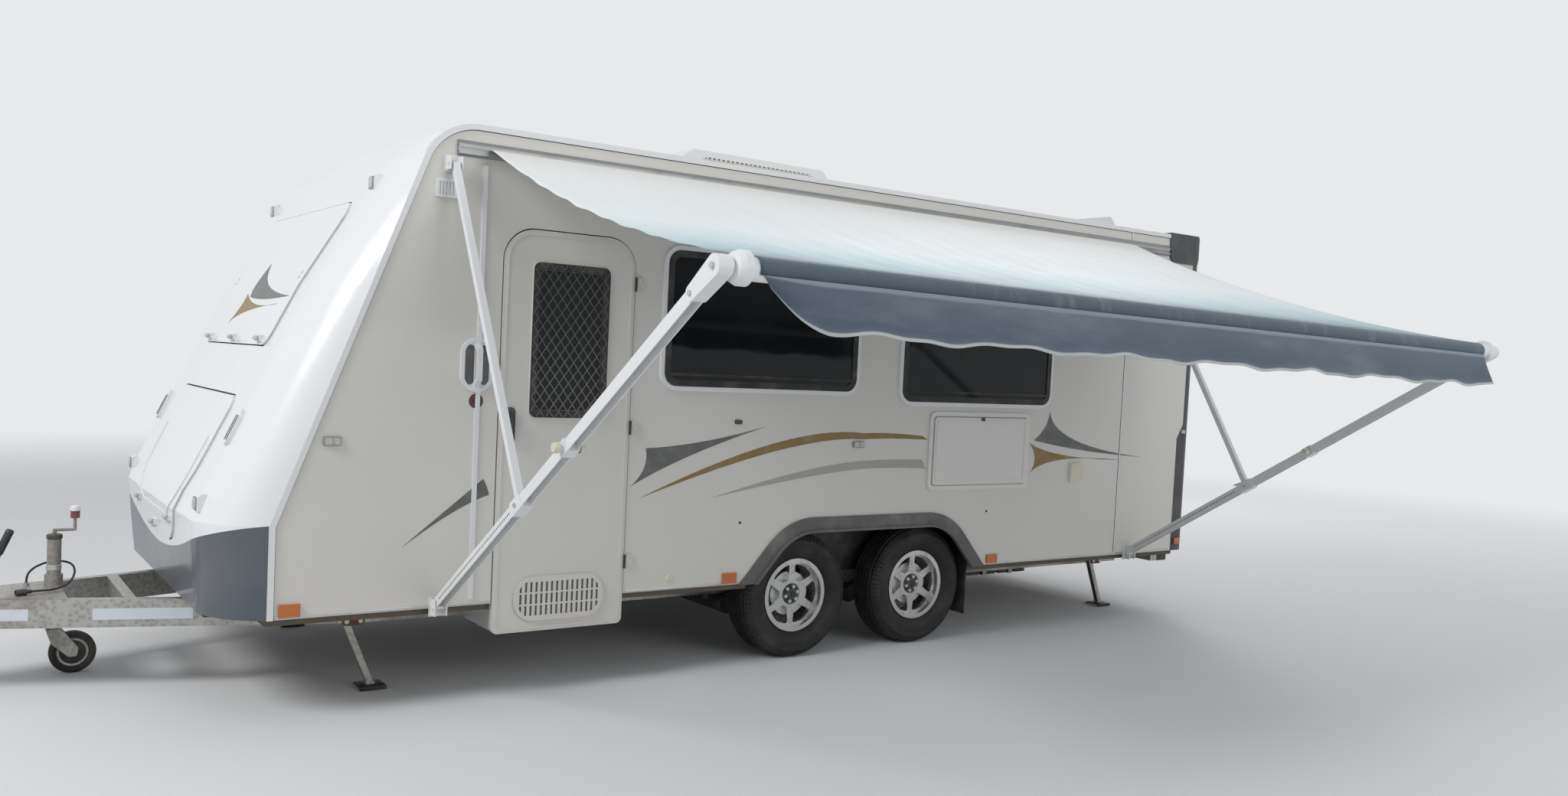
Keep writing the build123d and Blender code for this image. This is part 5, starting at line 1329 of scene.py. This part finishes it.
def make_front_fins():
    """Pair of vinyl fins on the window cover, laid on its leaning face."""
    thick = bpy.context.scene.caravan_sizes.vinyl
    for name, finish, curves in FRONT_FINS:
        bm = bmesh.new()
        bm.faces.new([bm.verts.new((0, y, GROUND + z)) for y, z in vinyl_outline(curves)])
        geom = bm.verts[:] + bm.edges[:] + bm.faces[:]
        bmesh.ops.bisect_plane(bm, geom=geom, plane_co=(0, 0, GROUND + COVER_BEND), plane_no=UP)
        bmesh.ops.triangulate(bm, faces=bm.faces[:])
        for vert in bm.verts:
            place, normal = hit("front_cover", (-1, vert.co.y, vert.co.z), BACK)
            vert.co = place + normal * FIN_LIFT
        thicken(bm, bm.faces[:], front_hit("front_cover", 0, 1.85)[1] * thick)
        piece(bm, f"cover_{name}", "trim_grey", finish, "front_cover")


# Running gear


def make_drawbar_parts():
    """Reflective strips on the drawbar and the lever's grip."""
    bm = bmesh.new()
    for sign in (-1, 1):
        start, end = spot(NOSE[0], sign * NOSE[1], 0), spot(JOIN[0], sign * JOIN[1], 0)
        along = (end - start).normalized()
        out = Vector((along.y, -along.x, 0)) * -sign
        for ends in TAPES:
            first, last = (start + along * far + out * TAPE_OUT for far in ends)
            low, high = (GROUND + z for z in TAPE_Z)
            corners = ((first, low), (last, low), (last, high), (first, high))
            plate(bm, [(*place.xy, z) for place, z in corners], out * 0.0012)
    piece(bm, "reflective_strips", "galvanised", "reflective")
    foot, top = spot(*LEVER[0]), spot(*LEVER[1])
    bm = bmesh.new()
    turned(bm, LEVER_GRIP, top, top - foot, 28)
    piece(bm, "lever_grip", "black_plastic")


def make_jockey_parts():
    """Two-colour knob of the crank, the mast's cap and ring, and the wheel's bright rings."""
    x, y = MAST
    knob, mast = spot(x + CRANK_OUT, y, 0), spot(x, y, 0)
    for name, slot, finish, profile, place, steps in (
            ("crank_grip", "dark_steel", "red_grip", CRANK_GRIP, knob, 28),
            ("crank_cap", "frame_white", None, CRANK_CAP, knob, 28),
            ("mast_cap", "black_plastic", None, MAST_CAP, mast, 32),
            ("mast_ring", "galvanised", "bright_wire", MAST_RING, mast, 32)):
        bm = bmesh.new()
        turned(bm, profile, place, UP, steps)
        piece(bm, name, slot, finish)
    low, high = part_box("jockey_wheel")
    bm = bmesh.new()
    for sign in (-1, 1):
        for profile, steps in ((JOCKEY_RIM, 48), (JOCKEY_HUB, 32)):
            turned(bm, profile, (low + high) / 2, (0, sign, 0), steps)
    piece(bm, "jockey_wheel_rings", "galvanised", None, "jockey_wheel", closed=False)


def make_leg_parts():
    """Red oxide bracket with two nuts at the head of each corner leg, and a black pad on its foot."""
    for place in ("front", "rear"):
        for side, sign in (("left", -1), ("right", 1)):
            name = f"{place}_{side}"
            low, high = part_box(f"leg_{name}")
            face = hit("chassis", (low.x + 0.036, sign * 2, high.z - 0.022), (0, -sign, 0))[0]
            face += Vector((0.019, 0, -0.012))
            bracket, nuts, pad = bmesh.new(), bmesh.new(), bmesh.new()
            outline = round_outline(*grown((face.x, face.x, face.z, face.z), 0.052, 0.021), 0.020)
            plate(bracket, [(x, face.y - sign * SUNK, z) for x, z in outline], (0, sign * 0.006, 0))
            for x in (-0.032, 0.032):
                turned(nuts, LEG_NUT, face + Vector((x, 0, 0)), (0, sign, 0), 20)
            block(pad, (high.x - 0.118, low.y - 0.012, low.z + 0.0005),
                  (high.x + 0.012, high.y + 0.012, low.z + 0.022), 0.008)
            piece(bracket, f"leg_bracket_{name}", "galvanised", "oxide")
            piece(nuts, f"leg_nuts_{name}", "galvanised", "bright_wire")
            piece(pad, f"leg_pad_{name}", "black_plastic", "black_rubber", f"leg_{name}")


def make_tank_straps():
    """Steel straps under the water tanks, bolted to the chassis rails."""
    bm = bmesh.new()
    low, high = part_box("water_tanks")
    top, gap = GROUND + STRAP_TOP, 0.006
    for x0, x1 in TANKS:
        for share in (0.3, 0.7):
            x = FOOT_X + between(x0, x1, share)
            front, rear = x - STRAP_HALF, x + STRAP_HALF
            left, right = low.y - gap, high.y + gap
            block(bm, (front, left, low.z - STRAP_THICK), (rear, right, low.z + 0.0005), 0.001)
            for y, sign in ((left, -1), (right, 1)):
                for foot, reach in ((low.z - STRAP_THICK, STRAP_THICK), (top - STRAP_THICK, STRAP_HOOK)):
                    block(bm, (front, y, foot), (rear, y + sign * reach, top), 0.001)
    piece(bm, "tank_straps", "galvanised")


# Rear and roof


def make_rear_parts():
    """Tail lamps in three colours, blank plate, high lamp, reflectors and bumper caps."""
    lenses = {colour: bmesh.new() for colour in ("red", "amber", "clear")}
    for sign in (-1, 1):
        for colour, z0, z1 in TAIL_LAMPS:
            inner, outer = (sign * y for y in TAIL_LAMP_Y)
            block(lenses[colour], spot(BODY_REAR + 0.010, inner, z0 - 0.002),
                  spot(BODY_REAR + 0.028, outer, z1 + 0.002), 0.006)
    y, half, z0, z1 = BUMPER_REFLECTORS
    for middle in (-y, y):
        block(lenses["red"], spot(BODY_REAR + 0.110, middle - half, z0),
              spot(BODY_REAR + 0.117, middle + half, z1), 0.003)
    for sign in (-1, 1):
        side_block(lenses["clear"], CORNER_LAMP, -SUNK, 0.012, 0.004, sign)
        side_block(lenses["amber"], CORNER_MARKER, -SUNK, 0.014, 0.004, sign)
    face = hit("rear_surround", spot(BODY_REAR + 1, 0, HIGH_LAMP_Z), FORWARD)[0]
    block_at(lenses["red"], face, *HIGH_LAMP)
    for colour, bm in lenses.items():
        piece(bm, f"tail_{colour}_lenses", "amber_lens", f"{colour}_lens")
    bm = bmesh.new()
    y0, y1, z0, z1 = PLATE
    out = BODY_REAR - REAR_INSET
    block(bm, spot(out - SUNK, y0, z0), spot(out + 0.004, y1, z1), 0.0015)
    piece(bm, "blank_plate", "frame_white")
    bm = bmesh.new()
    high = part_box("bumper")[1]
    for sign in (-1, 1):
        y = sign * high.y
        block(bm, (high.x - 0.103, y - sign * 0.012, GROUND + 0.327),
              (high.x + 0.003, y + sign * 0.004, GROUND + 0.433), 0.006)
    block(bm, spot(out - SUNK, y0 + 0.04, z1 + 0.012), spot(out + 0.035, y1 - 0.04, z1 + 0.032), 0.006)
    piece(bm, "bumper_caps", "black_plastic")


def make_cooler_grille():
    """Cream slatted screens over the roof cooler's side intakes."""
    bm = bmesh.new()
    x0, x1 = COOLER_GRILLE
    slats = bpy.context.scene.caravan_sizes.slats
    for sign in (-1, 1):
        for step in range(slats):
            x = between(x0, x1, (step + 0.5) / slats)
            top = SLAT_TOP - max(0.0, 0.030 - (x - x0)) * 1.6 - max(0.0, (x - x1) + 0.045) * 1.2
            foot = spot(x, sign * SLAT_Y, ROOF_Z + SLAT_FOOT)
            head = spot(x, sign * (SLAT_Y - (top - SLAT_FOOT) * SLAT_LEAN), ROOF_Z + top)
            beam(bm, foot, head, BACK, 0.0065, 0.012)
        for z, y in SLAT_BARS:
            beam(bm, spot(x0, sign * y, ROOF_Z + z), spot(x1 - 0.02, sign * y, ROOF_Z + z), UP, 0.006, 0.010)
    piece(bm, "cooler_screens", "moulding_white", "cream")


def make_roof_parts():
    """Lap strip at the front of the roof sheet, strips along its sides and the hatch's screws."""
    bm = bmesh.new()
    front, foot, half = ARC_X + 0.02, ROOF_Z - 0.0005, SIDE_Y - 0.035
    block(bm, spot(front, -half, foot), spot(front + 0.035, half, ROOF_Z + 0.0025), 0.001)
    for sign in (-1, 1):
        block(bm, spot(front, sign * (SIDE_Y - 0.033), foot),
              spot(SPOILER_X - 0.002, sign * (SIDE_Y - 0.003), ROOF_Z + 0.003), 0.001)
    piece(bm, "roof_edge_strips", "frame_white")
    low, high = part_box("hatch_lid")
    bm = bmesh.new()
    for x in (low.x + 0.04, high.x - 0.04):
        for y in (low.y + 0.04, high.y - 0.04):
            screw(bm, *hit("hatch_lid", (x, y, high.z + 0.5), (0, 0, -1)), 0.006)
    piece(bm, "hatch_screws", "frame_white", "bright_wire", "hatch_lid")


# Stage


def make_camera():
    yaw, pitch, roll = CAMERA_YAW, CAMERA_PITCH, CAMERA_ROLL
    ahead = Vector((sin(yaw) * cos(pitch), cos(yaw) * cos(pitch), sin(pitch)))
    level = Vector((cos(yaw), -sin(yaw), 0))
    above = level.cross(ahead)
    right = level * cos(roll) + above * sin(roll)
    up = above * cos(roll) - level * sin(roll)
    data = bpy.data.cameras.new("camera")
    data.lens = CAMERA_LENS
    data.shift_y = CAMERA_SHIFT
    camera = linked("camera", data)
    turn = Matrix((right, up, -ahead)).transposed().to_4x4()
    camera.matrix_world = Matrix.Translation(spot(*CAMERA_PLACE)) @ turn
    bpy.context.scene.camera = camera


def make_floor():
    bm = bmesh.new()
    middle = Matrix.Translation((FOOT_X + FLOOR_MIDDLE, 0, GROUND - 0.0005))
    bmesh.ops.create_circle(bm, cap_ends=True, segments=96, radius=FLOOR_RADIUS, matrix=middle)
    floor = linked("floor_sheet", mesh_of(bm, "floor_sheet"))
    floor.data.materials.append(ground_sheet("studio floor"))


def make_lights():
    lights = bpy.context.scene.caravan_lights
    for name, place, aim, size, power in (
            ("front_light", (-7.5, -3.0, 8.0), (0.5, -0.5, 1.3), 4.0, lights.key),
            ("door_side_light", (5.5, -12.0, 5.0), (3.0, -1.0, 1.0), 8.0, lights.fill),
            ("rear_light", (12.5, 6.0, 7.0), (4.0, 0.0, 1.5), 6.0, lights.rear)):
        data = bpy.data.lights.new(name, "AREA")
        data.shape = "DISK"
        data.size = size
        data.energy = power
        lamp = linked(name, data)
        lamp.location = spot(*place)
        lamp.rotation_mode = "QUATERNION"
        lamp.rotation_quaternion = (spot(*aim) - spot(*place)).to_track_quat("-Z", "Y")


def make_world():
    """Even studio light; the camera, reflections and clear parts see a pale backdrop."""
    world = bpy.data.worlds.new("studio")
    world.use_nodes = True
    tree = world.node_tree
    back = tree.nodes["Background"]
    back.inputs["Color"].default_value = (0.94, 0.965, 1.0, 1)
    back.inputs["Strength"].default_value = bpy.context.scene.caravan_lights.sky
    seen = tree.nodes.new("ShaderNodeBackground")
    seen.inputs["Color"].default_value = (0.80, 0.815, 0.83, 1)
    path = tree.nodes.new("ShaderNodeLightPath")
    seeing = path.outputs["Is Camera Ray"]
    for ray in ("Is Glossy Ray", "Is Transmission Ray"):
        either = tree.nodes.new("ShaderNodeMath")
        either.operation = "MAXIMUM"
        tree.links.new(seeing, either.inputs[0])
        tree.links.new(path.outputs[ray], either.inputs[1])
        seeing = either.outputs[0]
    mix = tree.nodes.new("ShaderNodeMixShader")
    for socket, value in enumerate((seeing, back.outputs[0], seen.outputs[0])):
        tree.links.new(value, mix.inputs[socket])
    tree.links.new(mix.outputs[0], tree.nodes["World Output"].inputs["Surface"])
    bpy.context.scene.world = world


# Add-on


class CaravanColours(bpy.types.PropertyGroup):
    """Main colours of the caravan."""

    wall: FloatVectorProperty(
        name="Side Wall", description="Colour of the side wall sheets and the door",
        subtype="COLOR", size=3, min=0, max=1, default=(0.66, 0.64, 0.60))
    gelcoat: FloatVectorProperty(
        name="Gelcoat", description="Colour of the white mouldings", subtype="COLOR", size=3,
        min=0, max=1, default=(0.78, 0.79, 0.80))
    skirt: FloatVectorProperty(
        name="Grey Moulding", description="Colour of the front skirt",
        subtype="COLOR", size=3, min=0, max=1, default=(0.060, 0.074, 0.095))


class CaravanSizes(bpy.types.PropertyGroup):
    """Sizes of the small parts."""

    joint: FloatProperty(
        name="Joint Line", description="Width of the sealant line beside the edge moulding",
        unit="LENGTH", min=0.001, default=0.003)
    vinyl: FloatProperty(
        name="Vinyl", description="Thickness of the stripes", unit="LENGTH", min=0.0002, default=0.0006)
    nut: FloatProperty(
        name="Wheel Nut", description="Half width of a wheel nut over its corners",
        unit="LENGTH", min=0.005, default=0.0105)
    sag: FloatProperty(
        name="Canopy Sag", description="How far the middle of the awning hangs below a straight line",
        unit="LENGTH", min=0, default=0.082)
    slats: IntProperty(
        name="Cooler Slats", description="Number of slats in each screen of the roof cooler",
        min=8, default=60)


class CaravanLights(bpy.types.PropertyGroup):
    """Power of the studio's lamps and of its even light."""

    key: FloatProperty(
        name="Front Light", description="Power of the lamp ahead of the caravan", unit="POWER",
        min=0, default=620)
    fill: FloatProperty(
        name="Door Side Light", description="Power of the lamp on the door side", unit="POWER",
        min=0, default=260)
    rear: FloatProperty(
        name="Rear Light", description="Power of the lamp behind the caravan", unit="POWER",
        min=0, default=420)
    sky: FloatProperty(
        name="Sky", description="Strength of the even light from all sides", min=0, default=0.52)


def run(*makers):
    """Make some pieces, which need the finishes; the result of an operator."""
    if not FINISHES:
        raise RuntimeError("The finishes come first")
    for make in makers:
        make()
    return {"FINISHED"}


class CARAVAN_OT_finishes(bpy.types.Operator):
    """Make every finish and put it on the carried-over nodes"""

    bl_idname = "caravan.finishes"
    bl_label = "Finishes"

    def execute(self, context):
        FINISHES.update(finish_table())
        return run(dress_nodes)


class CARAVAN_OT_lead(bpy.types.Operator):
    """Trailer lead with its plug, looped over the jockey mast"""

    bl_idname = "caravan.lead"
    bl_label = "Trailer Lead"

    def execute(self, context):
        return run(make_lead)


class CARAVAN_OT_awning(bpy.types.Operator):
    """Canopy and valance of the awning, with its bolts and knobs"""

    bl_idname = "caravan.awning"
    bl_label = "Awning"

    def execute(self, context):
        return run(make_awning, make_awning_parts)


class CARAVAN_OT_wheels(bpy.types.Operator):
    """Tyres with their tread, and the nuts, hubs and valves"""

    bl_idname = "caravan.wheels"
    bl_label = "Wheels"

    def execute(self, context):
        return run(make_tyres, make_wheel_parts)


class CARAVAN_OT_walls(bpy.types.Operator):
    """Joint lines, stripes, screws, lamps and small fittings of the walls"""

    bl_idname = "caravan.walls"
    bl_label = "Walls"

    def execute(self, context):
        return run(make_wall_joints, make_stripes, make_wall_marks, make_wall_lamps)


class CARAVAN_OT_openings(bpy.types.Operator):
    """Gaskets of the windows, and the door's seal, flyscreen, lock and hinge pins"""

    bl_idname = "caravan.openings"
    bl_label = "Windows and Door"

    def execute(self, context):
        return run(make_window_seals, make_door_seal, make_door_parts)


class CARAVAN_OT_front(bpy.types.Operator):
    """Lamps, handle cups, latches and fins of the front moulding"""

    bl_idname = "caravan.front"
    bl_label = "Front"

    def execute(self, context):
        return run(make_front_lamps, make_front_handles, make_latches, make_front_fins)


class CARAVAN_OT_chassis(bpy.types.Operator):
    """Small parts of the drawbar, jockey wheel, corner legs and tanks"""

    bl_idname = "caravan.chassis"
    bl_label = "Chassis"

    def execute(self, context):
        return run(make_drawbar_parts, make_jockey_parts, make_leg_parts, make_tank_straps)


class CARAVAN_OT_rear_and_roof(bpy.types.Operator):
    """Tail lamps, blank plate, and the trims of the roof and its cooler"""

    bl_idname = "caravan.rear_and_roof"
    bl_label = "Rear and Roof"

    def execute(self, context):
        return run(make_rear_parts, make_cooler_grille, make_roof_parts)


class CARAVAN_OT_studio(bpy.types.Operator):
    """Camera, floor, lamps and even light"""

    bl_idname = "caravan.studio"
    bl_label = "Studio"

    def execute(self, context):
        context.scene.view_settings.view_transform = "Standard"
        return run(make_camera, make_floor, make_world, make_lights)


STEPS = (CARAVAN_OT_finishes, CARAVAN_OT_lead, CARAVAN_OT_awning, CARAVAN_OT_wheels, CARAVAN_OT_walls,
         CARAVAN_OT_openings, CARAVAN_OT_front, CARAVAN_OT_chassis, CARAVAN_OT_rear_and_roof,
         CARAVAN_OT_studio)


class CARAVAN_PT_panel(bpy.types.Panel):
    """Sizes, colours and steps of the caravan"""

    bl_label = "Caravan"
    bl_space_type = "VIEW_3D"
    bl_region_type = "UI"
    bl_category = "Caravan"

    def draw(self, context):
        scene = context.scene
        for group in (scene.caravan_colours, scene.caravan_sizes, scene.caravan_lights):
            box = self.layout.box()
            for name in group.__annotations__:
                box.prop(group, name)
        for step in STEPS:
            self.layout.operator(step.bl_idname)


GROUPS = {"caravan_colours": CaravanColours, "caravan_sizes": CaravanSizes, "caravan_lights": CaravanLights}


def register():
    for item in (*GROUPS.values(), *STEPS, CARAVAN_PT_panel):
        bpy.utils.register_class(item)
    for name, group in GROUPS.items():
        setattr(bpy.types.Scene, name, PointerProperty(type=group))


def unregister():
    for name in GROUPS:
        delattr(bpy.types.Scene, name)
    for item in (CARAVAN_PT_panel, *reversed(STEPS), *GROUPS.values()):
        bpy.utils.unregister_class(item)


def main():
    register()
    caravan = bpy.ops.caravan
    for step in (caravan.finishes, caravan.lead, caravan.awning, caravan.wheels, caravan.walls,
                 caravan.openings, caravan.front, caravan.chassis, caravan.rear_and_roof, caravan.studio):
        step()


if __name__ == "__main__":
    main()
